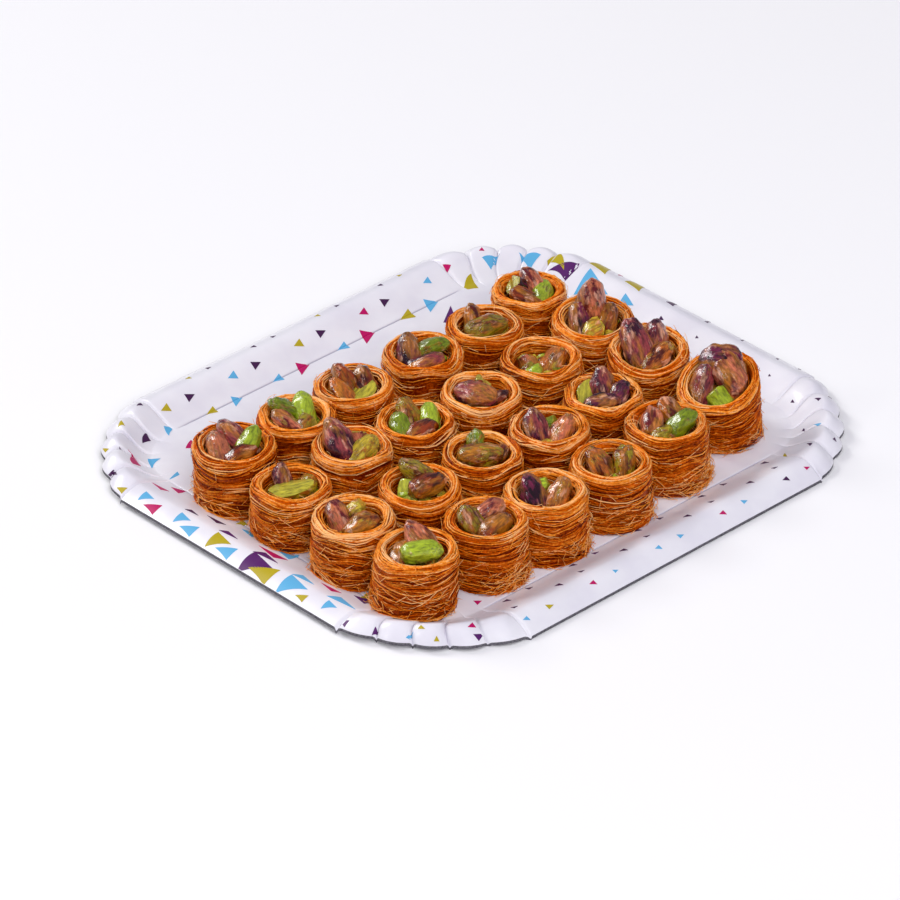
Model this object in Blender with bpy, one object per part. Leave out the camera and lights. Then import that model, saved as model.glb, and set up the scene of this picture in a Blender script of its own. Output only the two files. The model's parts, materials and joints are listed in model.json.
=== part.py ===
"""A white card tray with 24 kunafa rolls on it, each a cup of wound dough strands filled with pistachios.

The tray's outline is centred on the origin and its flat base lies on z = 0. Its long sides run along X.
The rolls stand in 6 columns along X and 4 rows along Y, a little unevenly, as laid out by hand.
"""

import math

import bpy
from mathutils import Matrix, Vector, noise

GAP = 0.0003
NEIGHBOUR_GAP = 0.0006

CARD = 0.0012
BASE_HALF_X = 0.1132
BASE_HALF_Y = 0.0942
BASE_CORNER = 0.0280
BASE_CENTRE = Vector((-0.0003, 0.0006))
CREST_OUT = 0.0170
CREST_HEIGHT = 0.0062
# Each side's rim is bent a little differently, in the order +X, +Y, -X, -Y.
EDGE_OUTS = (0.0272, 0.0272, 0.0266, 0.0284)
EDGE_HEIGHTS = (0.0018, 0.0018, 0.0028, 0.0006)
CORNER_CUT_AT_CREST = 0.0035
CORNER_CUT_AT_EDGE = 0.0068
CORNER_CUT_POWER = 0.6
CORNER_RISE = 0.0012
WALL_START_SLOPE = 0.35
WALL_STEPS = 3
ROLLOVER_STEPS = 2
PLEATS = 5
STEPS_PER_PLEAT = 4
SCALLOP_DEPTH = 0.0026
PLEAT_RISE = 0.0018
PLEAT_RISE_AT_EDGE = 0.0009
PLEAT_START = 0.0060
PLEAT_FULL = 0.0150

COLUMNS = 6
ROWS = 4
COLUMN_PITCH = 0.0360
ROW_PITCH = 0.0374
LAYOUT_CENTRE = (-0.0135, -0.0174)
COLUMN_SHIFTS = {2: -0.0012, 3: -0.0040, 4: -0.0015, 5: 0.0069}

ROLL_RADIUS = 0.0170
ROLL_HEIGHT = 0.0265
ROLL_WALL = 0.0046
CAVITY_DEPTH = 0.0150
CAVITY_TAPER = 0.0006
CAVITY_DISH = 0.0004
RIM_CREST_SHARE = 0.45
RIM_DROP = 0.0013
ROLL_SIDES = 14
BODY_LEVELS = ((0.22, 1.012), (0.56, 0.990), (0.86, 0.985))
UNEVENNESS = 0.0006
NOISE_SIZE = 0.011

KERNEL_LENGTH = 0.0172
KERNEL_WIDTH = 0.0108
KERNEL_DEPTH = 0.0093
KERNEL_SIDES = 6
KERNEL_RINGS = 3
KERNEL_FULLNESS = 0.60
KERNEL_BLUNT_END = 0.10
FACET_ALLOWANCE = 1.06
FILL_DROP = 0.0062
LOW_FILL_DROP = 0.0090
FILL_DOME = 0.0020
FILL_SIDES = 7
FILL_EASE = 0.0004
LIP_CLEARANCE = 0.0006
PICTURE_TURN = math.radians(-44.0)

CARD_SHARP_ANGLE = math.radians(35.0)
ROUND_SHARP_ANGLE = math.radians(60.0)


class Roll:
    """One roll: where it stands, how it leans, how its mouth is tipped and how far its size differs from the usual."""

    def __init__(self, column, row, nudge=(0.0, 0.0), height=1.0, radius=1.0, lean=(0.0, 0.0), slant=(0.0, 0.0), flare=0.0):
        self.column = column
        self.row = row
        self.height = ROLL_HEIGHT * height
        self.radius = ROLL_RADIUS * radius
        self.lean = Vector(lean)
        self.slant = Vector(slant)
        self.flare = flare
        self.top = Vector((
            LAYOUT_CENTRE[0] + (column - (COLUMNS - 1) / 2) * COLUMN_PITCH + nudge[0],
            LAYOUT_CENTRE[1] + (row - (ROWS - 1) / 2) * ROW_PITCH + COLUMN_SHIFTS.get(column, 0.0) + nudge[1],
        ))
        self.inner_radius = self.radius - ROLL_WALL
        self.floor = CARD + self.height - CAVITY_DEPTH
        self.rim = CARD + self.height

    def axis_at(self, z):
        """The roll's middle at a height: the foot is set back from the top by the lean."""
        share = (z - CARD) / self.height
        return self.top - self.lean * (1.0 - share)

    def tipped(self, point):
        """The point with the mouth's slant put on: raised on one side of the middle, lowered on the other."""
        share = min(max((point.z - CARD) / self.height, 0.0), 1.0)
        offset = Vector((point.x, point.y)) - self.axis_at(point.z)
        return Vector((point.x, point.y, point.z + self.slant.dot(offset) * share))

    def label(self):
        return f"c{self.column + 1}_r{self.row + 1}"


ROLL_NOTES = {
    (0, 0): dict(nudge=(0.0026, 0.0016), radius=1.01, lean=(0.0012, -0.0016), flare=0.0004),
    (0, 1): dict(nudge=(0.0006, 0.0000), radius=1.01),
    (0, 2): dict(nudge=(0.0014, 0.0010), height=0.90, radius=0.99),
    (0, 3): dict(nudge=(0.0017, -0.0006), height=1.02, radius=1.04, lean=(-0.0012, 0.0010), flare=0.0008),
    (1, 0): dict(nudge=(0.0024, -0.0011), radius=1.02, flare=0.0006),
    (1, 1): dict(nudge=(0.0001, -0.0019), radius=1.00, height=1.02),
    (1, 2): dict(nudge=(0.0010, 0.0025), radius=0.99),
    (1, 3): dict(nudge=(0.0007, -0.0004), radius=0.97, height=0.98),
    (2, 0): dict(nudge=(-0.0010, -0.0015), radius=1.02, lean=(0.0008, 0.0010), flare=0.0008),
    (2, 1): dict(nudge=(0.0006, 0.0005), radius=0.99),
    (2, 2): dict(nudge=(-0.0028, -0.0003), radius=0.98),
    (2, 3): dict(nudge=(-0.0026, 0.0005), radius=1.00, height=1.03),
    (3, 0): dict(nudge=(-0.0016, -0.0010), radius=1.00, flare=0.0006),
    (3, 1): dict(nudge=(-0.0012, -0.0016), radius=0.99),
    (3, 2): dict(nudge=(-0.0031, 0.0000), radius=1.01),
    (3, 3): dict(nudge=(0.0005, 0.0022), radius=1.01, height=1.02),
    (4, 0): dict(nudge=(-0.0002, 0.0009), radius=1.02, flare=0.0014, height=1.02),
    (4, 1): dict(nudge=(-0.0024, -0.0009), radius=0.99),
    (4, 2): dict(nudge=(-0.0003, 0.0011), radius=1.02, height=0.97),
    (4, 3): dict(nudge=(0.0001, -0.0010), radius=0.98),
    (5, 0): dict(
        nudge=(0.0006, -0.0013), radius=1.04, height=1.08, lean=(-0.0036, -0.0024), slant=(0.34, 0.10), flare=0.0006,
    ),
    (5, 1): dict(nudge=(0.0000, 0.0018), radius=1.01, slant=(0.14, 0.12)),
    (5, 2): dict(nudge=(0.0005, -0.0019), radius=1.04, height=1.03, lean=(0.0006, 0.0008), slant=(0.06, 0.07)),
    (5, 3): dict(nudge=(-0.0014, -0.0015), radius=0.95, height=0.98),
}


class Kernel:
    """One pistachio in a filling: bearings are as seen from the tray's front corner, 0 to the right, 90 away."""

    def __init__(self, bearing, out, lift, heading, pitch, size=1.0):
        self.bearing = math.radians(bearing)
        self.out = out / 1000
        self.lift = lift / 1000
        self.heading = math.radians(heading)
        self.pitch = math.radians(pitch)
        self.size = size


FILLINGS = {
    "high_front": (
        Kernel(300, 4.0, 0.6, 8, 4, 1.02),
        Kernel(78, 5.5, 1.6, 142, 34, 1.04),
        Kernel(186, 6.4, -3.4, 70, 34, 0.84),
    ),
    "ring_of_three": (
        Kernel(178, 6.2, -2.2, 120, 48, 0.98),
        Kernel(62, 6.0, -1.4, 20, 24, 0.90),
        Kernel(306, 5.6, -3.2, 28, 22, 0.98),
    ),
    "ring_of_four": (
        Kernel(100, 6.6, -0.4, 150, 38, 0.92),
        Kernel(20, 6.2, -1.2, 60, 34, 0.94),
        Kernel(295, 6.0, -3.0, 20, 16, 0.90),
        Kernel(195, 6.4, -2.2, 110, 30, 0.96),
    ),
    "across": (
        Kernel(280, 3.0, -0.8, 14, 6, 1.12),
        Kernel(128, 7.0, -0.6, 100, 58, 0.74),
        Kernel(20, 6.8, -3.6, 80, 20, 0.80),
    ),
    "vee": (
        Kernel(186, 5.4, -2.0, 118, 50, 1.02),
        Kernel(348, 5.6, -2.6, 62, 44, 0.98),
        Kernel(90, 6.4, -4.6, 10, 12, 0.80),
    ),
    "big_pair": (
        Kernel(20, 4.6, 0.6, 128, 26, 1.24),
        Kernel(82, 7.4, 2.4, 168, 10, 1.10),
        Kernel(182, 6.2, -1.4, 66, 42, 1.00),
        Kernel(262, 5.8, -2.4, 140, 26, 0.90),
    ),
    "spike": (
        Kernel(96, 5.2, 2.9, 100, 76, 1.26),
        Kernel(190, 6.3, -1.7, 98, 44, 1.0),
        Kernel(292, 5.3, -2.7, 34, 9, 0.88),
        Kernel(2.7, 6.2, -1.9, 76.5, 36, 0.86),
    ),
    "standing": (
        Kernel(112, 5.2, -1.4, 118, 62, 1.02),
        Kernel(192, 6.4, -3.0, 100, 36, 0.92),
        Kernel(286, 5.8, -3.2, 24, 14, 0.92),
        Kernel(14, 6.4, -2.4, 76, 34, 0.92),
    ),
    "leaning_out": (
        Kernel(176, 5.4, 1.4, 128, 50, 1.26),
        Kernel(66, 6.2, -0.6, 100, 46, 1.04),
        Kernel(318, 5.2, -2.4, 40, 30, 1.04),
    ),
    "low": (
        Kernel(8, 5.2, -4.4, 58, 24, 1.0),
        Kernel(156, 6.4, -5.4, 120, 22, 0.84),
        Kernel(262, 6.2, -5.6, 10, 14, 0.78),
    ),
}

ROLL_FILLINGS = {
    (0, 0): ("high_front", 0),
    (0, 1): ("ring_of_three", 0),
    (0, 2): ("across", 0),
    (0, 3): ("ring_of_four", 0),
    (1, 0): ("ring_of_three", 12),
    (1, 1): ("high_front", 28),
    (1, 2): ("leaning_out", 8),
    (1, 3): ("ring_of_four", 40),
    (2, 0): ("vee", 0),
    (2, 1): ("across", -16),
    (2, 2): ("standing", 14),
    (2, 3): ("standing", 30),
    (3, 0): ("vee", 18),
    (3, 1): ("vee", -8),
    (3, 2): ("across", -44),
    (3, 3): ("ring_of_three", -20),
    (4, 0): ("ring_of_four", -24),
    (4, 1): ("standing", -18),
    (4, 2): ("low", 0),
    (4, 3): ("across", 10),
    (5, 0): ("big_pair", 0),
    (5, 1): ("leaning_out", -6),
    (5, 2): ("spike", 0),
    (5, 3): ("ring_of_four", 62),
}


def clear_scene():
    for obj in list(bpy.data.objects):
        bpy.data.objects.remove(obj, do_unlink=True)


def material(name, colour, roughness):
    made = bpy.data.materials.new(name)
    made.use_nodes = True
    shader = made.node_tree.nodes["Principled BSDF"]
    shader.inputs["Base Color"].default_value = (*colour, 1.0)
    shader.inputs["Roughness"].default_value = roughness
    shader.inputs["Metallic"].default_value = 0.0
    return made


def add_object(name, points, faces, finish, smooth_below=ROUND_SHARP_ANGLE):
    """A closed mesh object with one finish, shaded smooth except over edges sharper than the given angle."""
    mesh = bpy.data.meshes.new(name)
    mesh.from_pydata([tuple(point) for point in points], [], faces)
    mesh.materials.append(finish)
    mesh.shade_smooth()
    mesh.set_sharp_from_angle(angle=smooth_below)
    obj = bpy.data.objects.new(name, mesh)
    bpy.context.scene.collection.objects.link(obj)
    return obj


def ring_bands(rings, sides):
    """Faces between neighbouring closed rings of points, each ring a run of numbers from 0 upward."""
    faces = []
    for lower in range(rings - 1):
        for side in range(sides):
            after = (side + 1) % sides
            a = lower * sides + side
            b = lower * sides + after
            faces.append((a, b, b + sides, a + sides))
    return faces


def smoothstep(low, high, value):
    t = min(max((value - low) / (high - low), 0.0), 1.0)
    return t * t * (3.0 - 2.0 * t)


def wall_rise(t):
    """How high the wall has come, from 0 at the crease to 1 at the crest."""
    return WALL_START_SLOPE * t + (1.0 - WALL_START_SLOPE) * t * t * (3.0 - 2.0 * t)


def faceted_rise(t):
    """The same, on the straight facets that the wall is made of."""
    step = min(int(t * WALL_STEPS), WALL_STEPS - 1)
    low = wall_rise(step / WALL_STEPS)
    high = wall_rise((step + 1) / WALL_STEPS)
    return low + (high - low) * (t * WALL_STEPS - step)


def corner_bell(share):
    """How far a corner is cut in at a place round it: nothing at its ends and all at its middle."""
    return math.sin(math.pi * share) ** CORNER_CUT_POWER if 0.0 < share < 1.0 else 0.0


class Station:
    """One place round the base's crease, with the rim's own sizes there."""

    def __init__(self, corner, step):
        steps = PLEATS * STEPS_PER_PLEAT
        share = step / steps
        sign_x = 1 if corner in (0, 3) else -1
        sign_y = 1 if corner in (0, 1) else -1
        centre = Vector((sign_x * (BASE_HALF_X - BASE_CORNER), sign_y * (BASE_HALF_Y - BASE_CORNER)))
        angle = math.pi / 2 * (corner + share)
        following = (corner + 1) % 4
        self.outward = Vector((math.cos(angle), math.sin(angle)))
        self.place = BASE_CENTRE + centre + self.outward * BASE_CORNER
        self.swell = abs(math.sin(math.pi * step / STEPS_PER_PLEAT)) - 0.5 if 0 < step < steps else 0.0
        self.bell = corner_bell(share)
        self.edge_out = EDGE_OUTS[corner] * (1.0 - share) + EDGE_OUTS[following] * share
        self.edge_height = EDGE_HEIGHTS[corner] * (1.0 - share) + EDGE_HEIGHTS[following] * share

    def profile(self):
        """The rim's upper face in section, as (distance out, height over the base): up to the crest and over."""
        points = []
        for step in range(WALL_STEPS + 1):
            t = step / WALL_STEPS
            out = (CREST_OUT - CORNER_CUT_AT_CREST * self.bell) * t
            high = CREST_HEIGHT * wall_rise(t) + CORNER_RISE * self.bell * t * t
            points.append(self.pleated(out, high, PLEAT_RISE))
        crest_out = CREST_OUT - CORNER_CUT_AT_CREST * self.bell
        crest_height = CREST_HEIGHT + CORNER_RISE * self.bell
        edge_out = self.edge_out - CORNER_CUT_AT_EDGE * self.bell
        for step in range(1, ROLLOVER_STEPS + 1):
            t = step / ROLLOVER_STEPS
            out = crest_out + (edge_out - crest_out) * t
            high = crest_height - (crest_height - self.edge_height) * t * t
            points.append(self.pleated(out, high, PLEAT_RISE_AT_EDGE))
        return points

    def pleated(self, out, high, rise):
        """A point of the profile moved by the corner's pleats, which swell between their notches."""
        swell = self.swell * smoothstep(PLEAT_START, PLEAT_FULL, out)
        return out + SCALLOP_DEPTH * swell, high + rise * swell

    def point(self, out, high):
        spot = self.place + self.outward * out
        return Vector((spot.x, spot.y, CARD + high))


def underside(profile):
    """The profile moved down through the card, square to the sheet at each point."""
    points = []
    for index, (out, high) in enumerate(profile):
        before = profile[max(index - 1, 0)]
        after = profile[min(index + 1, len(profile) - 1)]
        slope = math.atan2(after[1] - before[1], after[0] - before[0]) if index else 0.0
        points.append((out + CARD * math.sin(slope), high - CARD * math.cos(slope)))
    return points


def build_tray(finish):
    stations = [Station(corner, step) for corner in range(4) for step in range(PLEATS * STEPS_PER_PLEAT + 1)]
    columns = []
    for station in stations:
        profile = station.profile()
        columns.append([station.point(*spot) for spot in profile + list(reversed(underside(profile)))])
    sides = len(stations)
    rings = len(columns[0])
    points = [column[ring] for ring in range(rings) for column in columns]
    faces = ring_bands(rings, sides)
    faces.append(tuple(reversed(range(sides))))
    faces.append(tuple(range(sides * (rings - 1), sides * rings)))
    faces = [tuple(reversed(face)) for face in faces]
    return add_object("tray", points, faces, finish, smooth_below=CARD_SHARP_ANGLE)


def tray_top(x, y):
    """Height of the card's upper face under a point on the base or on the wall, leaving the pleats out."""
    beside_x = abs(x - BASE_CENTRE.x) - (BASE_HALF_X - BASE_CORNER)
    beside_y = abs(y - BASE_CENTRE.y) - (BASE_HALF_Y - BASE_CORNER)
    outside = math.hypot(max(beside_x, 0.0), max(beside_y, 0.0))
    out = outside + min(max(beside_x, beside_y), 0.0) - BASE_CORNER
    if out <= 0.0:
        return CARD
    round_corner = math.atan2(max(beside_y, 0.0), max(beside_x, 0.0)) / (math.pi / 2)
    bell = corner_bell(round_corner)
    t = min(out / (CREST_OUT - CORNER_CUT_AT_CREST * bell), 1.0)
    return CARD + CREST_HEIGHT * faceted_rise(t) + CORNER_RISE * bell * t


def keep_clear_of_neighbours(roll, rolls, point):
    """Moves a point back to its own roll's side of the plane half way to each neighbour."""
    own = roll.axis_at(point.z)
    flat = Vector((point.x, point.y))
    for other in rolls:
        if other is roll:
            continue
        away = other.axis_at(point.z) - own
        reach = (away.length - NEIGHBOUR_GAP) / 2
        direction = away.normalized()
        over = (flat - own).dot(direction) - reach
        if over > 0.0:
            flat -= direction * over
    return Vector((flat.x, flat.y, point.z))


def roll_unevenness(roll, angle, z):
    place = Vector((math.cos(angle), math.sin(angle), 0.0)) * roll.radius
    seed = Vector((roll.column * 3.1, roll.row * 5.3, 0.7))
    return UNEVENNESS * noise.noise((place + Vector((0.0, 0.0, z))) / NOISE_SIZE + seed)


def roll_ring(roll, rolls, radius, z, uneven):
    points = []
    for side in range(ROLL_SIDES):
        angle = 2.0 * math.pi * side / ROLL_SIDES
        reach = radius + (roll_unevenness(roll, angle, z) if uneven else 0.0)
        centre = roll.axis_at(z)
        point = Vector((centre.x + reach * math.cos(angle), centre.y + reach * math.sin(angle), z))
        points.append(keep_clear_of_neighbours(roll, rolls, point))
    return points


def build_roll(roll, rolls, finish):
    foot = roll_ring(roll, rolls, roll.radius + roll.flare, CARD + GAP, True)
    for point in foot:
        point.z = tray_top(point.x, point.y) + GAP
    rings = [foot]
    for share, size in BODY_LEVELS:
        rings.append(roll_ring(roll, rolls, roll.radius * size, CARD + roll.height * share, True))
    rim_middle = roll.radius - ROLL_WALL * RIM_CREST_SHARE
    rings.append(roll_ring(roll, rolls, rim_middle, roll.rim, False))
    rings.append(roll_ring(roll, rolls, roll.inner_radius, roll.rim - RIM_DROP, False))
    rings.append(roll_ring(roll, rolls, roll.inner_radius - CAVITY_TAPER, roll.floor, False))
    points = [point for ring in rings for point in ring]
    faces = ring_bands(len(rings), ROLL_SIDES)
    foot_middle = roll.axis_at(CARD)
    points.append(Vector((foot_middle.x, foot_middle.y, CARD + GAP)))
    floor_middle = roll.axis_at(roll.floor)
    points.append(Vector((floor_middle.x, floor_middle.y, roll.floor - CAVITY_DISH)))
    points = [roll.tipped(point) for point in points]
    under = len(points) - 2
    inside = len(points) - 1
    last = ROLL_SIDES * (len(rings) - 1)
    for side in range(ROLL_SIDES):
        after = (side + 1) % ROLL_SIDES
        faces.append((after, side, under))
        faces.append((last + side, last + after, inside))
    return add_object(f"kunafa_{roll.label()}", points, faces, finish)


def cavity_reach(roll, z):
    """How far from the roll's axis a nut may reach: inside the wall, and over the lip only above it."""
    clear = roll.inner_radius * math.cos(math.pi / ROLL_SIDES) - CAVITY_TAPER - GAP
    return clear + max(0.0, z - roll.rim - LIP_CLEARANCE)


def kept_in_cavity(roll, point):
    centre = roll.axis_at(point.z)
    flat = Vector((point.x, point.y)) - centre
    reach = cavity_reach(roll, point.z)
    if flat.length > reach:
        flat = flat.normalized() * reach
    return Vector((centre.x + flat.x, centre.y + flat.y, max(point.z, roll.floor + GAP)))


def kernel_points(roll, kernel, turn):
    """An egg-shaped kernel of few sides, pointed a little more at one end, laid in its roll."""
    bearing = kernel.bearing + turn + PICTURE_TURN
    heading = kernel.heading + turn + PICTURE_TURN
    centre_z = roll.rim + kernel.lift
    middle = roll.axis_at(centre_z)
    centre = Vector((middle.x + kernel.out * math.cos(bearing), middle.y + kernel.out * math.sin(bearing), centre_z))
    place = Matrix.Translation(centre) @ Matrix.Rotation(heading, 4, "Z") @ Matrix.Rotation(-kernel.pitch, 4, "Y")
    half_length = KERNEL_LENGTH * kernel.size / 2
    half_width = KERNEL_WIDTH * kernel.size / 2 * FACET_ALLOWANCE
    half_depth = KERNEL_DEPTH * kernel.size / 2 * FACET_ALLOWANCE
    points = [place @ Vector((-half_length, 0.0, 0.0))]
    for ring in range(KERNEL_RINGS):
        latitude = math.pi * (ring + 1) / (KERNEL_RINGS + 1)
        along = -math.cos(latitude) * half_length
        girth = math.sin(latitude) ** KERNEL_FULLNESS * (1.0 - KERNEL_BLUNT_END * along / half_length)
        for side in range(KERNEL_SIDES):
            angle = 2.0 * math.pi * side / KERNEL_SIDES
            points.append(place @ Vector((
                along,
                half_width * girth * math.cos(angle),
                half_depth * girth * math.sin(angle),
            )))
    points.append(place @ Vector((half_length, 0.0, 0.0)))
    return [roll.tipped(kept_in_cavity(roll, point)) for point in points]


def kernel_faces():
    faces = []
    last = 1 + KERNEL_SIDES * KERNEL_RINGS
    for side in range(KERNEL_SIDES):
        after = (side + 1) % KERNEL_SIDES
        faces.append((0, 1 + after, 1 + side))
        faces.append((last, last - KERNEL_SIDES + side, last - KERNEL_SIDES + after))
    for face in ring_bands(KERNEL_RINGS, KERNEL_SIDES):
        faces.append(tuple(1 + index for index in face))
    return faces


def fill_core(roll, finish):
    """The filling's lower part, out of sight under the kernels: a low dome on the cavity's floor."""
    points = []
    low_filled = ROLL_FILLINGS[roll.column, roll.row][0] == "low"
    top = roll.rim - (LOW_FILL_DROP if low_filled else FILL_DROP)
    for z in (roll.floor + GAP, top):
        centre = roll.axis_at(z)
        reach = cavity_reach(roll, z) - FILL_EASE
        for side in range(FILL_SIDES):
            angle = 2.0 * math.pi * side / FILL_SIDES
            points.append(Vector((centre.x + reach * math.cos(angle), centre.y + reach * math.sin(angle), z)))
    low = roll.axis_at(roll.floor)
    high = roll.axis_at(top)
    points.append(Vector((low.x, low.y, roll.floor + GAP)))
    points.append(Vector((high.x, high.y, top + FILL_DOME)))
    points = [roll.tipped(point) for point in points]
    faces = ring_bands(2, FILL_SIDES)
    for side in range(FILL_SIDES):
        after = (side + 1) % FILL_SIDES
        faces.append((after, side, 2 * FILL_SIDES))
        faces.append((FILL_SIDES + side, FILL_SIDES + after, 2 * FILL_SIDES + 1))
    return add_object(f"pistachios_{roll.label()}", points, faces, finish)


def build_filling(roll, finish):
    """A core with its kernels fused on by one union."""
    core = fill_core(roll, finish)
    style, turn = ROLL_FILLINGS[roll.column, roll.row]
    kernels = bpy.data.collections.new(f"kernels_{roll.label()}")
    bpy.context.scene.collection.children.link(kernels)
    for index, kernel in enumerate(FILLINGS[style]):
        points = kernel_points(roll, kernel, math.radians(turn))
        piece = add_object(f"kernel_{roll.label()}_{index + 1}", points, kernel_faces(), finish)
        bpy.context.scene.collection.objects.unlink(piece)
        kernels.objects.link(piece)
    union = core.modifiers.new("kernels", "BOOLEAN")
    union.operation = "UNION"
    union.operand_type = "COLLECTION"
    union.collection = kernels
    union.solver = "EXACT"
    bpy.context.view_layer.update()
    joined = bpy.data.meshes.new_from_object(core.evaluated_get(bpy.context.evaluated_depsgraph_get()))
    core.modifiers.clear()
    core.data = joined
    for piece in list(kernels.objects):
        bpy.data.objects.remove(piece, do_unlink=True)
    bpy.data.collections.remove(kernels)
    return core


def main():
    clear_scene()
    card = material("coated_card", (0.90, 0.89, 0.92), 0.35)
    dough = material("baked_dough_strands", (0.62, 0.24, 0.04), 0.40)
    nut = material("pistachio_kernel", (0.32, 0.30, 0.07), 0.35)
    rolls = [
        Roll(column, row, **ROLL_NOTES[column, row])
        for column in range(COLUMNS)
        for row in range(ROWS)
    ]
    build_tray(card)
    for roll in rolls:
        build_roll(roll, rolls, dough)
        build_filling(roll, nut)


main()
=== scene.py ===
"""Looks of a printed card tray with kunafa rolls: cups of wound dough strands, filled with pistachios."""

import json
import logging
import math
from dataclasses import dataclass, field
from enum import Enum
from typing import Any

import bpy
import numpy as np
from mathutils import Matrix, Vector, noise

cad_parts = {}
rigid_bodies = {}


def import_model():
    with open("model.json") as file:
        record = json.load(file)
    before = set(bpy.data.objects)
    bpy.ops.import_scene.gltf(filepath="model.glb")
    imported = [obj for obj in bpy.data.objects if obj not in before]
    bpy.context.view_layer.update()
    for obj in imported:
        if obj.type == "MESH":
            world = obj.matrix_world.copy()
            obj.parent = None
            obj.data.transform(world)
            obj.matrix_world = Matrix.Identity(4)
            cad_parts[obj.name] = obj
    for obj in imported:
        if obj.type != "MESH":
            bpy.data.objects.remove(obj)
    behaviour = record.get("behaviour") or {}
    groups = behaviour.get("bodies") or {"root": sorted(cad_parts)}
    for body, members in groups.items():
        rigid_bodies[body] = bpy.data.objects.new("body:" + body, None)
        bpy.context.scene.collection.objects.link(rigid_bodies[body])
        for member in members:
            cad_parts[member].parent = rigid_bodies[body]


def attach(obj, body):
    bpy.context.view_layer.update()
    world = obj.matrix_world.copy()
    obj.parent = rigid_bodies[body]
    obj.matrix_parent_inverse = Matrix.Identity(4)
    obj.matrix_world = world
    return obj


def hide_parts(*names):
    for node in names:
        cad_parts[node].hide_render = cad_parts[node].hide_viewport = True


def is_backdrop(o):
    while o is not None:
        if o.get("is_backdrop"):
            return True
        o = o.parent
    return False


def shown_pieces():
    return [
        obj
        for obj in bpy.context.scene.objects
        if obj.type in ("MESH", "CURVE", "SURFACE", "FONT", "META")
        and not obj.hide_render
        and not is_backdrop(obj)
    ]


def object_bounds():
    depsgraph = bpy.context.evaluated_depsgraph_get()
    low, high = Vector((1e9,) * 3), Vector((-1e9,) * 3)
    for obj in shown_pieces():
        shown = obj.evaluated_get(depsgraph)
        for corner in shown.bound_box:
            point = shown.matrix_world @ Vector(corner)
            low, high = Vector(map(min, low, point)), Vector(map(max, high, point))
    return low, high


for leftover in list(bpy.data.objects):
    bpy.data.objects.remove(leftover, do_unlink=True)
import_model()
CAD_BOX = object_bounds()

LOG = logging.getLogger("kunafa_tray")
MM = 0.001
WHOLE_TURN = 2.0 * math.pi
LAST_PHASE = 6.28
PICTURE_SIDE_PX = 900
PICTURE_TURN = math.radians(-44.0)
NEIGHBOUR_REACH = 60 * MM
TUBE_SIDES = 3


def linear(hex_colour: str) -> tuple[float, float, float, float]:
    """Turns an sRGB hex colour into the linear colour that a shader takes.

    Args:
        hex_colour: Six hex digits after a #.

    Returns:
        Red, green, blue and an alpha of 1.
    """
    channels = (int(hex_colour[start:start + 2], 16) / 255 for start in (1, 3, 5))
    return (*((c / 12.92 if c <= 0.04045 else ((c + 0.055) / 1.055) ** 2.4) for c in channels), 1.0)


def add_node(
    tree: bpy.types.NodeTree,
    kind: str,
    settings: dict[str | int, Any] | None = None,
    links: dict[str | int, bpy.types.NodeSocket] | None = None,
) -> bpy.types.Node:
    """Adds one shader node.

    Args:
        tree: The node tree that gets it.
        kind: Blender's name of the node type.
        settings: Values of the node's own properties, or of its inputs by name or number.
        links: Sockets that feed its inputs, by the input's name or number.

    Returns:
        The new node.
    """
    node = tree.nodes.new(kind)
    for name, value in (settings or {}).items():
        if isinstance(name, str) and hasattr(node, name):
            setattr(node, name, value)
        else:
            node.inputs[name].default_value = value
    for name, source in (links or {}).items():
        tree.links.new(source, node.inputs[name])
    return node


def set_stops(ramp: bpy.types.ColorRamp, stops: tuple[tuple[float, str], ...]) -> None:
    """Sets the colours along a ramp.

    Args:
        ramp: The ramp, as a new node has it.
        stops: Place and hex colour of each stop, in rising order.
    """
    while len(ramp.elements) < len(stops):
        ramp.elements.new(1.0)
    for element, (place, colour) in zip(ramp.elements, stops):
        element.position = place
        element.color = linear(colour)


def new_material(name: str, settings: dict[str, Any]) -> tuple[bpy.types.Material, bpy.types.Node]:
    """Starts a material from the Principled shader.

    Args:
        name: The material's name.
        settings: Values of the shader's inputs.

    Returns:
        The material and its shader node.
    """
    material = bpy.data.materials.new(name)
    material.use_nodes = True
    shader = material.node_tree.nodes["Principled BSDF"]
    for socket, value in settings.items():
        shader.inputs[socket].default_value = value
    return material, shader


def smoothstep(low: float, high: float, value: np.ndarray) -> np.ndarray:
    """A smooth rise from 0 at low to 1 at high."""
    t = np.clip((value - low) / (high - low), 0.0, 1.0)
    return t * t * (3.0 - 2.0 * t)


def unit(vectors: np.ndarray) -> np.ndarray:
    """The vectors at length 1."""
    return vectors / np.maximum(np.linalg.norm(vectors, axis=-1, keepdims=True), 1e-12)


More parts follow.
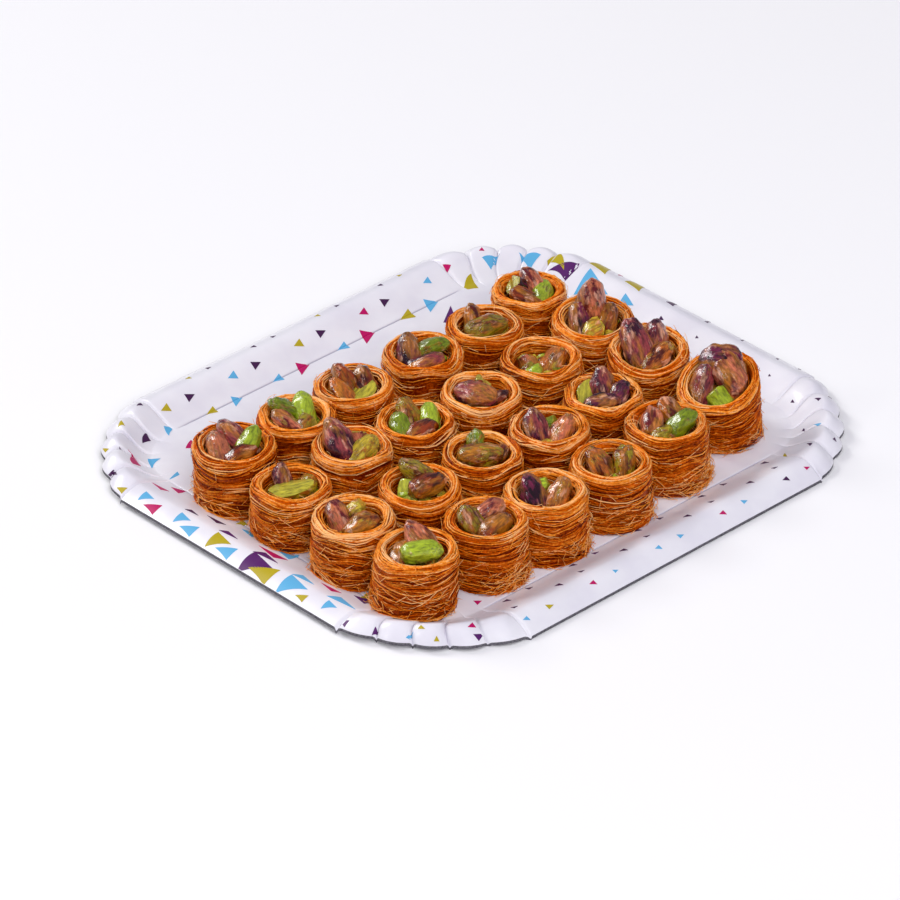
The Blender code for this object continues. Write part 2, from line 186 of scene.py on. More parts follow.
@dataclass
class MeshParts:
    """Points and faces gathered for one piece, with a material number per face and values per point."""

    points: list[np.ndarray] = field(default_factory=list)
    faces: list[tuple[int, ...]] = field(default_factory=list)
    slots: list[int] = field(default_factory=list)
    values: dict[str, list[np.ndarray]] = field(default_factory=dict)
    count: int = 0

    def add(self, points: np.ndarray, faces: np.ndarray | list, slot: int = 0, **values: np.ndarray) -> None:
        """Adds one shape.

        Args:
            points: Its points, one row each.
            faces: Its faces, as point numbers of this shape.
            slot: The material slot of its faces.
            values: Named values, one row for each point.
        """
        self.points.append(np.asarray(points, float).reshape(-1, 3))
        for face in np.asarray(faces).tolist() if isinstance(faces, np.ndarray) else faces:
            self.faces.append(tuple(index + self.count for index in face))
        self.slots += [slot] * len(faces)
        for name, rows in values.items():
            self.values.setdefault(name, []).append(np.asarray(rows, np.float32))
        self.count += len(self.points[-1])

    def build(self, name: str, materials: list[bpy.types.Material]) -> bpy.types.Object:
        """Makes the object.

        Args:
            name: The piece's name.
            materials: Its material slots in order.

        Returns:
            The object, shaded smooth.
        """
        mesh = bpy.data.meshes.new(name)
        mesh.from_pydata(np.concatenate(self.points).tolist(), [], self.faces)
        for material in materials:
            mesh.materials.append(material)
        mesh.polygons.foreach_set("material_index", self.slots)
        for value_name, rows in self.values.items():
            joined = np.concatenate(rows)
            kind = "FLOAT" if joined.ndim == 1 else "FLOAT_VECTOR"
            attribute = mesh.attributes.new(value_name, kind, "POINT")
            attribute.data.foreach_set("value" if joined.ndim == 1 else "vector", joined.ravel())
        mesh.shade_smooth()
        obj = bpy.data.objects.new(name, mesh)
        bpy.context.scene.collection.objects.link(obj)
        return obj


def tubes(
    lines: np.ndarray, outward: np.ndarray, half_width: np.ndarray, half_height: np.ndarray
) -> tuple[np.ndarray, list[list[int]]]:
    """Makes closed tubes along many lines of equal point count.

    Args:
        lines: Centre points, as (tube, point, xyz).
        outward: Directions that the sections' height follows, of the same shape.
        half_width: Half the section's width, as (tube, point).
        half_height: Half the section's height, as (tube, point).

    Returns:
        The points, and the faces as lists of point numbers.
    """
    along = unit(np.gradient(lines, axis=1))
    across = unit(np.cross(along, outward))
    upward = unit(np.cross(across, along))
    sides = TUBE_SIDES
    angles = math.pi / 2 + WHOLE_TURN * np.arange(sides) / sides
    rings = (
        lines[:, :, None, :]
        + across[:, :, None, :] * (half_width[:, :, None] * np.cos(angles))[..., None]
        + upward[:, :, None, :] * (half_height[:, :, None] * np.sin(angles))[..., None]
    )
    number, length = lines.shape[:2]
    tube = np.arange(number) * length * sides
    ring = tube[:, None, None] + (np.arange(length - 1) * sides)[None, :, None]
    side = np.arange(sides)[None, None, :]
    after = (side + 1) % sides
    quads = np.stack([ring + side, ring + side + sides, ring + after + sides, ring + after], -1)
    first = tube[:, None] + np.arange(sides)
    last = (tube + (length - 1) * sides)[:, None] + np.arange(sides)[::-1]
    return rings.reshape(-1, 3), quads.reshape(-1, 4).tolist() + first.tolist() + last.tolist()


def capped_rings(rings: int, sides: int) -> list[tuple[int, ...]]:
    """Faces of a closed skin over rings of points, with a fan to one more point at either end.

    Args:
        rings: How many rings there are.
        sides: Points on each ring.

    Returns:
        The faces; the first ring's end point comes after all the rings, and the last ring's after that.
    """
    after = [(side + 1) % sides for side in range(sides)]
    faces: list[tuple[int, ...]] = []
    for low in range(0, (rings - 1) * sides, sides):
        high = low + sides
        faces += [(low + side, low + after[side], high + after[side], high + side) for side in range(sides)]
    last, ends = (rings - 1) * sides, rings * sides
    for side in range(sides):
        faces += [(after[side], side, ends), (last + side, last + after[side], ends + 1)]
    return faces


@dataclass(frozen=True)
class CoatedCard:
    """Clay-coated white cardboard, pressed to shape: white with a cool cast, and a soft satin shine."""

    white: str = "#ECEBF0"
    shade: str = "#E4E2EA"
    # Grey painted along the scored crease as its shade.
    score_shade: str = "#A29EB0"
    mottle_mm: float = 18.0
    fibre_mm: float = 1.6

    def material(self) -> bpy.types.Material:
        """The coated face.

        Returns:
            The material.
        """
        material, shader = new_material(
            "clay_coated_card",
            {"Roughness": 0.34, "IOR": 1.5, "Coat Weight": 0.25},
        )
        tree = material.node_tree
        place = add_node(tree, "ShaderNodeNewGeometry").outputs["Position"]
        # The pressed board is never quite even: a faint mottle, and fibre dents, drawn coarser to show.
        mottle = add_node(
            tree,
            "ShaderNodeTexNoise",
            {"Scale": 1 / (self.mottle_mm * MM), "Detail": 3.0},
            {"Vector": place},
        )
        ramp = add_node(tree, "ShaderNodeValToRGB", links={"Fac": mottle.outputs["Fac"]})
        set_stops(ramp.color_ramp, ((0.35, self.shade), (0.62, self.white)))
        # Painted shade: the colour greys along the scored crease, standing in for the shadow in its groove.
        pressed = add_node(tree, "ShaderNodeAttribute", {"attribute_name": "pressed"})
        coat = add_node(
            tree,
            "ShaderNodeMix",
            {"data_type": "RGBA", 7: linear(self.score_shade)},
            {0: pressed.outputs["Fac"], 6: ramp.outputs["Color"]},
        )
        tree.links.new(coat.outputs[2], shader.inputs["Base Color"])
        fibre = add_node(
            tree,
            "ShaderNodeTexNoise",
            {"Scale": 1 / (self.fibre_mm * MM), "Detail": 4.0},
            {"Vector": place},
        )
        bump = add_node(
            tree,
            "ShaderNodeBump",
            {"Strength": 0.05, "Distance": 0.1 * MM},
            {"Height": fibre.outputs["Fac"]},
        )
        tree.links.new(bump.outputs["Normal"], shader.inputs["Normal"])
        return material


@dataclass(frozen=True)
class RawBoard:
    """Recycled greyboard, die-cut: the bare grey core that shows at the cut edge, matt and fibrous."""

    light: str = "#77757B"
    dark: str = "#3E3C42"
    clump_mm: float = 1.0

    def material(self) -> bpy.types.Material:
        """The cut edge.

        Returns:
            The material.
        """
        material, shader = new_material("raw_greyboard_edge", {"Roughness": 0.9, "IOR": 1.45})
        tree = material.node_tree
        place = add_node(tree, "ShaderNodeNewGeometry").outputs["Position"]
        # Clumps of pulp are the coarsest thing in the board, and the only one that shows at this size.
        clumps = add_node(
            tree,
            "ShaderNodeTexNoise",
            {"Scale": 1 / (self.clump_mm * MM), "Detail": 5.0},
            {"Vector": place},
        )
        ramp = add_node(tree, "ShaderNodeValToRGB", links={"Fac": clumps.outputs["Fac"]})
        set_stops(ramp.color_ramp, ((0.3, self.dark), (0.7, self.light)))
        tree.links.new(ramp.outputs["Color"], shader.inputs["Base Color"])
        return material


class Ink(Enum):
    """The print's inks, as sRGB colours."""

    OLIVE = "#B3A11C"
    SKY = "#5CACD8"
    MAGENTA = "#B8005C"
    PLUM = "#541C62"
    AUBERGINE = "#401846"


@dataclass(frozen=True)
class OffsetPrint:
    """Offset ink under a gloss varnish: flat colour with a slight unevenness in its cover."""

    ink: Ink
    cover_mm: float = 5.0
    most_white: float = 0.02

    def material(self) -> bpy.types.Material:
        """The printed ink.

        Returns:
            The material.
        """
        material, shader = new_material(
            f"offset_ink_{self.ink.name.lower()}",
            {"Roughness": 0.35, "IOR": 1.5, "Specular IOR Level": 0.15},
        )
        tree = material.node_tree
        place = add_node(tree, "ShaderNodeNewGeometry").outputs["Position"]
        cover = add_node(
            tree,
            "ShaderNodeTexNoise",
            {"Scale": 1 / (self.cover_mm * MM), "Detail": 3.0},
            {"Vector": place},
        )
        weak = add_node(
            tree,
            "ShaderNodeMath",
            {"operation": "MULTIPLY", 1: self.most_white},
            {0: cover.outputs["Fac"]},
        )
        tint = add_node(
            tree,
            "ShaderNodeMix",
            {"data_type": "RGBA", 6: linear(self.ink.value), 7: linear("#FFFFFF")},
            {0: weak.outputs[0]},
        )
        tree.links.new(tint.outputs[2], shader.inputs["Base Color"])
        return material


@dataclass(frozen=True)
class BakedDough:
    """Kataifi dough strands, baked in butter and soaked in syrup: golden orange, with a wet shine.

    Low-lying strands and the gaps between them are painted darker as shade; each strand carries its own
    tone.
    """

    deep: str = "#6C1000"
    body: str = "#D85E00"
    light: str = "#FA9C30"
    pale: str = "#FFC482"
    glint: str = "#FFCC90"
    toast_mm: float = 7.0
    speck_mm: float = 1.0

    def material(self) -> bpy.types.Material:
        """The strands and what shows between them.

        Returns:
            The material.
        """
        material, shader = new_material(
            "syrup_soaked_dough",
            {
                "Roughness": 0.28,
                "IOR": 1.46,
                "Specular IOR Level": 0.32,
                "Specular Tint": linear(self.glint),
            },
        )
        tree = material.node_tree
        place = add_node(tree, "ShaderNodeNewGeometry").outputs["Position"]
        shade = add_node(tree, "ShaderNodeAttribute", {"attribute_name": "tone"}).outputs["Fac"]
        # Broad patches baked lighter and darker, then specks; each shifts the tone by up to half its share.
        for size_mm, detail, share in ((self.toast_mm, 2.0, 0.5), (self.speck_mm, 3.0, 0.7)):
            spots = add_node(
                tree,
                "ShaderNodeTexNoise",
                {"Scale": 1 / (size_mm * MM), "Detail": detail},
                {"Vector": place},
            ).outputs["Fac"]
            shift = add_node(
                tree,
                "ShaderNodeMath",
                {"operation": "MULTIPLY_ADD", 1: share, 2: -share / 2},
                {0: spots},
            )
            shade = add_node(
                tree,
                "ShaderNodeMath",
                {"operation": "ADD"},
                {0: shade, 1: shift.outputs[0]},
            ).outputs[0]
        ramp = add_node(tree, "ShaderNodeValToRGB", links={"Fac": shade})
        colours = ((0.05, self.deep), (0.45, self.body), (0.72, self.light), (0.94, self.pale))
        set_stops(ramp.color_ramp, colours)
        tree.links.new(ramp.outputs["Color"], shader.inputs["Base Color"])
        bump = add_node(tree, "ShaderNodeBump", {"Strength": 0.3, "Distance": 0.12 * MM}, {"Height": spots})
        tree.links.new(bump.outputs["Normal"], shader.inputs["Normal"])
        return material


class Skin(Enum):
    """How a kernel looks: its flesh, its skin, the skin's dark blotches, and how much skin is left."""

    GREEN = ("#9CB024", "#A89A34", "#5A5A0C", 0.12)
    LEAF = ("#74860E", "#8E7424", "#3E3C04", 0.24)
    YELLOW = ("#CCB02C", "#C07A24", "#743408", 0.30)
    OLIVE = ("#968210", "#A05C12", "#562002", 0.46)
    TAN = ("#A88820", "#AE5C18", "#541602", 0.72)
    ROSE = ("#A08030", "#C06A48", "#601018", 0.78)
    MAUVE = ("#8E7020", "#963E40", "#3A0420", 0.84)
    BROWN = ("#90680E", "#843004", "#3A0600", 0.90)
    PURPLE = ("#785A1C", "#6A1A3C", "#240214", 0.92)


class Cut(Enum):
    """Whether a kernel is whole, split in half, or broken across."""

    WHOLE = "whole"
    HALF = "half"
    BROKEN = "broken"


@dataclass(frozen=True)
class PistachioSkin:
    """Pistachio kernels wet with syrup: green flesh under a papery mauve-brown skin, torn in streaks."""

    streak_mm: float = 2.8
    blotch_mm: float = 4.4
    gild_mm: float = 7.0
    pale_skin_and_highlight_mm: float = 3.4
    vein_mm: float = 1.1
    gilt: str = "#BC7A1E"
    # Pale patches: skin rubbed thin, and painted highlight.
    pale_skin_and_highlight: str = "#E8AC8C"

    def material(self) -> bpy.types.Material:
        """Flesh, skin and blotches, told apart by the values that each kernel carries.

        Returns:
            The material.
        """
        material, shader = new_material(
            "syruped_pistachio",
            {
                "Roughness": 0.35,
                "IOR": 1.46,
                "Specular IOR Level": 0.2,
                "Coat Weight": 1.0,
                "Coat Roughness": 0.08,
                "Coat IOR": 1.75,
            },
        )
        tree = material.node_tree
        colours = {
            name: add_node(tree, "ShaderNodeAttribute", {"attribute_name": name}).outputs["Color"]
            for name in ("flesh", "skin", "blotch")
        }
        cover = add_node(tree, "ShaderNodeAttribute", {"attribute_name": "cover"}).outputs["Fac"]
        local = add_node(tree, "ShaderNodeAttribute", {"attribute_name": "kernel_place"}).outputs["Vector"]
        # The skin tears from end to end, so every pattern is drawn out along the kernel.
        drawn = {}
        for name, size_mm, squeeze, detail in (
            ("streak", self.streak_mm, 0.5, 4.0),
            ("blotch", self.blotch_mm, 0.45, 4.0),
            ("gild", self.gild_mm, 0.4, 3.0),
            ("pale_skin_and_highlight", self.pale_skin_and_highlight_mm, 0.4, 3.0),
            ("vein", self.vein_mm, 0.28, 3.0),
        ):
            stretched = add_node(
                tree,
                "ShaderNodeMapping",
                {"Scale": (squeeze, 1.0, 1.0), "Location": (size_mm, 0.0, 0.0)},
                {"Vector": local},
            )
            spots = add_node(
                tree,
                "ShaderNodeTexNoise",
                {"Scale": 1 / (size_mm * MM), "Detail": detail, "Roughness": 0.62},
                {"Vector": stretched.outputs[0]},
            )
            drawn[name] = spots.outputs["Fac"]
        torn = add_node(tree, "ShaderNodeMath", {"operation": "SUBTRACT"}, {0: cover, 1: drawn["streak"]})
        skinned = add_node(
            tree,
            "ShaderNodeMapRange",
            {"From Min": -0.06, "From Max": 0.07},
            {"Value": torn.outputs[0]},
        ).outputs[0]
        blotched = add_node(
            tree,
            "ShaderNodeMapRange",
            {"From Min": 0.46, "From Max": 0.58},
            {"Value": drawn["blotch"]},
        )
        skin = add_node(
            tree,
            "ShaderNodeMix",
            {"data_type": "RGBA"},
            {0: blotched.outputs[0], 6: colours["skin"], 7: colours["blotch"]},
        ).outputs[2]
        # Baking gilds one side of a kernel more than the other. Pale patches: skin rubbed thin, and painted
        # highlight.
        for name, low, high, share, tint in (
            ("gild", 0.48, 0.60, 0.65, self.gilt),
            ("pale_skin_and_highlight", 0.56, 0.66, 0.6, self.pale_skin_and_highlight),
        ):
            patch = add_node(
                tree,
                "ShaderNodeMapRange",
                {"From Min": low, "From Max": high, "To Max": share},
                {"Value": drawn[name]},
            )
            skin = add_node(
                tree,
                "ShaderNodeMix",
                {"data_type": "RGBA", 7: linear(tint)},
                {0: patch.outputs[0], 6: skin},
            ).outputs[2]
        colour = add_node(
            tree,
            "ShaderNodeMix",
            {"data_type": "RGBA"},
            {0: skinned, 6: colours["flesh"], 7: skin},
        ).outputs[2]
        # Painted shade and light: the colour darkens in the wrinkles' grooves and lightens on their ridges.
        depth = add_node(
            tree,
            "ShaderNodeMapRange",
            {"From Min": 0.32, "From Max": 0.7, "To Min": 0.48, "To Max": 1.5},
            {"Value": drawn["vein"]},
        )
        grain_and_wrinkle_shade = add_node(
            tree,
            "ShaderNodeMix",
            {"data_type": "RGBA", "blend_type": "MULTIPLY", 0: 1.0},
            {6: colour, 7: depth.outputs[0]},
        )
        tree.links.new(grain_and_wrinkle_shade.outputs[2], shader.inputs["Base Color"])
        relief = add_node(
            tree,
            "ShaderNodeMath",
            {"operation": "MULTIPLY_ADD", 1: 1.6},
            {0: drawn["vein"], 2: skinned},
        ).outputs[0]
        # The syrup lies smoother than the skin below it.
        for socket, strength, depth_mm in (("Normal", 0.9, 0.4), ("Coat Normal", 0.6, 0.35)):
            bump = add_node(
                tree,
                "ShaderNodeBump",
                {"Strength": strength, "Distance": depth_mm * MM},
                {"Height": relief},
            )
            tree.links.new(bump.outputs["Normal"], shader.inputs[socket])
        return material


@dataclass
class TrayForm:
    """The tray's shape, in the sizes that its solid was made from."""

    card: float = 1.2 * MM
    half_x: float = 113.2 * MM
    half_y: float = 94.2 * MM
    corner: float = 28.0 * MM
    centre: tuple[float, float] = (-0.3 * MM, 0.6 * MM)
    crest_out: float = 17.0 * MM
    crest_height: float = 6.2 * MM
    nominal_edge: float = 27.4 * MM
    edge_outs: tuple[float, ...] = (27.2 * MM, 27.2 * MM, 26.6 * MM, 28.4 * MM)
    edge_heights: tuple[float, ...] = (1.8 * MM, 1.8 * MM, 2.8 * MM, 0.6 * MM)
    corner_cut_at_crest: float = 3.5 * MM
    corner_cut_at_edge: float = 6.8 * MM
    corner_cut_power: float = 0.6
    corner_rise: float = 1.2 * MM
    wall_start_slope: float = 0.35
    pleats: int = 5
    scallop_depth: float = 2.6 * MM
    pleat_rise: float = 1.8 * MM
    pleat_rise_at_edge: float = 0.9 * MM
    pleat_start: float = -7.0 * MM
    pleat_full: float = 15.0 * MM
    pleat_roundness: float = 0.8
    pleat_end_share: float = 0.03
    pleat_overlap: float = 0.6 * MM
    overlap_lost_at_edge: float = 0.6
    deepest_fold: float = -0.3 * MM
    pleat_drift: float = 0.02
    pleat_twists: tuple[float, ...] = (0.0, 0.19, 0.0, -0.16)
    fold_depth: float = 1.5 * MM
    fold_half_width: float = 0.5 * MM
    fold_start: float = -2.0 * MM
    fold_full_share: float = 0.7
    edge_card: float = 1.35 * MM
    score_depth: float = 0.45 * MM
    score_half_width: float = 0.32 * MM
    score_fade: float = 4.0 * MM
    foot_blend: float = 2.0 * MM

    def section(
        self, nominal: np.ndarray, bell: np.ndarray, edge_out: np.ndarray, edge_height: np.ndarray
    ) -> tuple[np.ndarray, np.ndarray]:
        """The rim in section, up to the crest and over it.

        Args:
            nominal: Distance out from the crease before the corner's cut.
            bell: How far the corner is cut in, from 0 to 1.
            edge_out: The edge's distance out here.
            edge_height: The edge's height over the base here.

        Returns:
            The true distance out, and the height over the base.
        """
        t = np.clip(nominal / self.crest_out, 0.0, 1.0)
        over = np.clip((nominal - self.crest_out) / (self.nominal_edge - self.crest_out), 0.0, 1.0)
        crest_out = self.crest_out - self.corner_cut_at_crest * bell
        crest_height = self.crest_height + self.corner_rise * bell
        wall = self.wall_start_slope * t + (1.0 - self.wall_start_slope) * t * t * (3.0 - 2.0 * t)
        out = np.minimum(nominal, 0.0) + crest_out * t
        out = out + (edge_out - self.corner_cut_at_edge * bell - crest_out) * over
        high = self.crest_height * wall + self.corner_rise * bell * t * t
        return out, high - (crest_height - edge_height) * over * over

    def score(self, nominal: np.ndarray) -> np.ndarray:
        """How deep the scored crease is pressed in."""
        return self.score_depth * np.exp(-((nominal / self.score_half_width) ** 2))

    def folds(self, distance: np.ndarray, nominal: np.ndarray) -> np.ndarray:
        """How deep the sheet dips at a pleat's fold, by the distance from it."""
        reach = smoothstep(self.fold_start, self.pleat_full * self.fold_full_share, nominal)
        return self.fold_depth * reach * np.exp(-((distance / self.fold_half_width) ** 2))

    def on_side(self, side: int, along: np.ndarray, nominal: np.ndarray) -> np.ndarray:
        """Points on the upper face beside a straight side.

        Args:
            side: 0 to 3, the side that faces +X, +Y, -X or -Y.
            along: Distance along it from its middle, anticlockwise.
            nominal: Distance out from its crease.

        Returns:
            The points.
        """
        angle = math.pi / 2 * side
        outward = np.array([math.cos(angle), math.sin(angle)])
        onward = np.array([-outward[1], outward[0]])
        reach = self.half_x if side % 2 == 0 else self.half_y
        level = np.zeros_like(nominal)
        out, high = self.section(nominal, level, self.edge_outs[side], self.edge_heights[side])
        near_end = self.straight_half(side) - np.abs(along)
        scored = self.score(nominal) * smoothstep(0.0, self.score_fade, near_end)
        high = high - self.folds(near_end, nominal) - scored
        flat = outward * (reach + out)[..., None] + onward * along[..., None] + self.centre
        return np.concatenate([flat, (self.card + high)[..., None]], -1)

    def on_corner(self, corner: int, share: np.ndarray, nominal: np.ndarray) -> np.ndarray:
        """Points on the upper face of a corner.

        Args:
            corner: 0 to 3, anticlockwise from the one between +X and +Y.
            share: Place round it, from 0 to 1.
            nominal: Distance out from the crease.

        Returns:
            The points.
        """
        following = (corner + 1) % 4
        sign_x = 1 if corner in (0, 3) else -1
        sign_y = 1 if corner in (0, 1) else -1
        middle = np.array([sign_x * (self.half_x - self.corner), sign_y * (self.half_y - self.corner)])
        middle = middle + self.centre
        inward = 1.0 - smoothstep(0.0, self.crest_out, nominal)
        lean = self.pleat_twists[corner] * inward * share * np.sin(math.pi * share)
        bell = np.sin(math.pi * np.clip(share, 0.0, 1.0)) ** self.corner_cut_power
        out, high = self.section(
            nominal,
            bell,
            self.edge_outs[corner] * (1.0 - share) + self.edge_outs[following] * share,
            self.edge_heights[corner] * (1.0 - share) + self.edge_heights[following] * share,
        )
        end = self.pleat_end_share
        ends = smoothstep(0.0, end, share) * smoothstep(0.0, end, 1.0 - share)
        place = share * self.pleats
        part = place - np.floor(np.clip(place, 0.0, self.pleats - 1e-6))
        wave = (np.abs(np.sin(math.pi * part)) ** self.pleat_roundness - 0.5) * ends
        reach = smoothstep(self.pleat_start, self.pleat_full, nominal)
        at_edge = smoothstep(self.crest_out, self.nominal_edge * 0.9, nominal)
        rise = self.pleat_rise + (self.pleat_rise_at_edge - self.pleat_rise) * at_edge
        out = out + self.scallop_depth * wave * reach
        lapped = self.pleat_overlap * (part - 0.5) * ends * reach
        high = high + rise * wave * reach + lapped * (1.0 - self.overlap_lost_at_edge * at_edge)
        arc = (self.corner + out) * math.pi / 2 / self.pleats
        high = np.maximum(high - self.folds(np.minimum(part, 1.0 - part) * arc, nominal), self.deepest_fold)
        drift = self.pleat_drift * np.sin(nominal / self.nominal_edge * WHOLE_TURN)
        drift = drift * np.sin(math.pi * share)
        angle = math.pi / 2 * (corner + share + drift + lean)
        flat = middle + np.stack([np.cos(angle), np.sin(angle)], -1) * (self.corner + out)[..., None]
        return np.concatenate([flat, (self.card + high)[..., None]], -1)

    def straight_half(self, side: int) -> float:
        """Half the length of a straight side."""
        return (self.half_y if side % 2 == 0 else self.half_x) - self.corner

    def top(self, x: np.ndarray, y: np.ndarray) -> np.ndarray:
        """Height of the upper face under a place on the base or the wall, leaving the pleats out.

        Args:
            x: Places along X.
            y: Places along Y.

        Returns:
            The heights.
        """
        beside_x = np.abs(x - self.centre[0]) - (self.half_x - self.corner)
        beside_y = np.abs(y - self.centre[1]) - (self.half_y - self.corner)
        round_x, round_y = np.maximum(beside_x, 0.0), np.maximum(beside_y, 0.0)
        out = np.hypot(round_x, round_y) + np.minimum(np.maximum(beside_x, beside_y), 0.0) - self.corner
        bell = np.sin(2.0 * np.arctan2(round_y, round_x)).clip(0.0, 1.0) ** self.corner_cut_power
        nominal = out / (1.0 - bell * self.corner_cut_at_crest / self.crest_out)
        blend = self.foot_blend
        _, high = self.section(np.maximum(nominal, blend), bell, self.edge_outs[2], self.edge_heights[2])
        return self.card + np.where(nominal > 0.0, high * np.clip(nominal / blend, 0.0, 1.0), 0.0)


@dataclass
class Tray:
    """The card tray: one pressed sheet with its cut edge, and the ink printed on it."""

    form: TrayForm
    side_steps: int = 40
    side_margin: float = 1.8 * MM
    near_fold_mm: tuple[float, ...] = (1.2, 0.7, 0.35, 0.15)
    pleat_steps: int = 16
    base_mm: tuple[float, ...] = (-7.0, -5.5, -4.0, -2.8, -1.8)
    score_mm: tuple[float, ...] = (-0.9, -0.5, -0.25, 0.0, 0.25, 0.5, 0.9)
    wall_start: float = 1.9 * MM
    wall_steps: int = 16
    over_steps: int = 14
    cut_width: float = 2.5 * MM
    grey_fade: float = 9.0 * MM
    card_sharp: float = math.radians(55)
    ink_sharp: float = math.radians(40)
    ink_lift: float = 0.12 * MM
    ink_cell: float = 1.1 * MM
    ink_cells: tuple[int, int] = (3, 14)
    ink_cell_on_crease: float = 0.3 * MM
    ink_margin: float = 0.2 * MM

    def places(self) -> list[tuple[bool, int, float]]:
        """Every place round the tray where the rim's section is drawn.

        Returns:
            Whether it is on a corner, the side's or corner's number, and how far along it is.
        """
        near_fold = np.array(self.near_fold_mm) * MM
        # Steps crowd towards the folds, where the sheet bends most.
        part = 0.5 - 0.5 * np.cos(math.pi * np.arange(self.pleat_steps) / self.pleat_steps)
        found = []
        for quarter in range(4):
            half = self.form.straight_half(quarter)
            along = np.linspace(-half + self.side_margin, half - self.side_margin, self.side_steps)
            along = np.concatenate([-half + near_fold[::-1], along, half - near_fold])
            found += [(False, quarter, value) for value in along]
            for pleat in range(self.form.pleats):
                found += [(True, quarter, (pleat + value) / self.form.pleats) for value in part]
            found.append((True, quarter, 1.0))
        return found

    def build_card(self) -> bpy.types.Object:
        """The pressed sheet.

        Returns:
            The tray piece.
        """
        form = self.form
        base = np.array(self.base_mm + self.score_mm) * MM
        wall = np.linspace(self.wall_start, form.crest_out, self.wall_steps)
        over = np.linspace(form.crest_out, form.nominal_edge, self.over_steps)[1:]
        nominal = np.concatenate([base, wall, over])
        columns = []
        score_shade_fade = []
        for corner, number, along in self.places():
            face = form.on_corner if corner else form.on_side
            columns.append(face(number, np.full_like(nominal, along), nominal))
            # Only the straight sides are scored; the crease and the shade painted along it run out before
            # the corners.
            near_end = 0.0 if corner else form.straight_half(number) - abs(along)
            score_shade_fade.append(float(smoothstep(0.0, self.grey_fade, near_end)))
        top = np.stack(columns, axis=1)
        down_the_rim = np.gradient(top, axis=0)
        round_the_rim = np.roll(top, -1, axis=1) - np.roll(top, 1, axis=1)
        normal = unit(np.cross(down_the_rim, round_the_rim))
        # The sheet is cut straight down, so its grey core shows all round the front.
        cut = smoothstep(form.nominal_edge - self.cut_width, form.nominal_edge, nominal)[:, None, None]
        normal = unit(normal * (1.0 - cut) + np.array([0.0, 0.0, 1.0]) * cut)
        under = top - (form.card + (form.edge_card - form.card) * cut) * normal
        on_base = nominal <= form.score_half_width
        under[on_base, :, :2] = top[on_base, :, :2]
        under[on_base, :, 2] = 0.0
        under[..., 2] = np.maximum(under[..., 2], 0.0)
        section = np.concatenate([top, under[::-1]])
        rings, sides = section.shape[:2]
        ring = np.arange(rings - 1)[:, None] * sides
        side = np.arange(sides)[None, :]
        after = (side + 1) % sides
        quads = np.stack([ring + side, ring + sides + side, ring + sides + after, ring + after], -1)
        edge_ring = len(nominal) - 1
        faces = [tuple(quad) for quad in np.delete(quads, edge_ring, axis=0).reshape(-1, 4).tolist()]
        faces.append(tuple(range(sides)))
        faces.append(tuple(reversed(range((rings - 1) * sides, rings * sides))))
        # The painted crease shade: strongest at the crease's middle, on the upper face only.
        pressed = np.concatenate([form.score(nominal) / form.score_depth, np.zeros(len(nominal))])
        parts = MeshParts()
        parts.add(section.reshape(-1, 3), faces, pressed=np.outer(pressed, score_shade_fade).ravel())
        parts.faces += [tuple(quad) for quad in quads[edge_ring].tolist()]
        parts.slots += [1] * sides
        obj = parts.build("tray_card", [CoatedCard().material(), RawBoard().material()])
        obj.data.set_sharp_from_angle(angle=self.card_sharp)
        return obj

    def patch(self, corners: np.ndarray, bow: float, place: Any) -> tuple[np.ndarray, list]:
        """One printed triangle, wrapped on the card.

        Args:
            corners: Its three corners as (along, out).
            bow: How far two of its edges bow, one out and one in.
            place: Turns arrays of along and out into points on the card.

        Returns:
            Points and faces of a thin closed layer of ink.
        """
        size = max(np.linalg.norm(corners[1] - corners[0]), np.linalg.norm(corners[2] - corners[0]))
        on_crease = corners[:, 1].min() < 0.0 < corners[:, 1].max()
        cells = int(np.clip(round(size / self.ink_cell), *self.ink_cells))
        cells = round(size / self.ink_cell_on_crease) if on_crease else cells
        steps = [(a, b, cells - a - b) for a in range(cells + 1) for b in range(cells + 1 - a)]
        weights = np.array(steps) / cells
        flat = weights @ corners
        for edge, bulge in ((0, bow), (2, -bow)):
            way = corners[(edge + 1) % 3] - corners[edge]
            side = np.array([way[1], -way[0]]) / np.linalg.norm(way)
            flat += side * (bulge * 4.0 * weights[:, edge] * weights[:, (edge + 1) % 3])[:, None]
        flat[:, 1] = np.minimum(flat[:, 1], self.form.nominal_edge - self.ink_margin)
        nudge = 0.05 * MM
        along, out = flat.T
        centre = place(along, out)
        normal = unit(np.cross(place(along + nudge, out) - centre, place(along, out + nudge) - centre))
        normal *= np.where(normal[:, 2:] < 0.0, -1.0, 1.0)
        number = {step: index for index, step in enumerate(steps)}
        upper = []
        for a in range(cells):
            for b in range(cells - a):
                c = cells - a - b
                upper.append((number[a + 1, b, c - 1], number[a, b + 1, c - 1], number[a, b, c]))
                if c >= 2:
                    across = number[a + 1, b + 1, c - 2]
                    upper.append((number[a + 1, b, c - 1], across, number[a, b + 1, c - 1]))
        first = upper[0]
        if np.cross(flat[first[1]] - flat[first[0]], flat[first[2]] - flat[first[0]]) > 0.0:
            upper = [tuple(reversed(face)) for face in upper]
        points = np.concatenate([centre + normal * self.ink_lift, centre - normal * self.ink_lift])
        low = len(steps)
        border = [number[a, cells - a, 0] for a in range(cells)]
        border += [number[cells - a, 0, a] for a in range(cells)]
        border += [number[0, b, cells - b] for b in range(cells)]
        directed = {(face[i], face[(i + 1) % 3]) for face in upper for i in range(3)}
        walls = []
        for start, end in zip(border, border[1:] + border[:1]):
            if (start, end) not in directed:
                start, end = end, start
            walls.append((end, start, start + low, end + low))
        lower = [tuple(index + low for index in reversed(face)) for face in upper]
        return points, upper + lower + walls

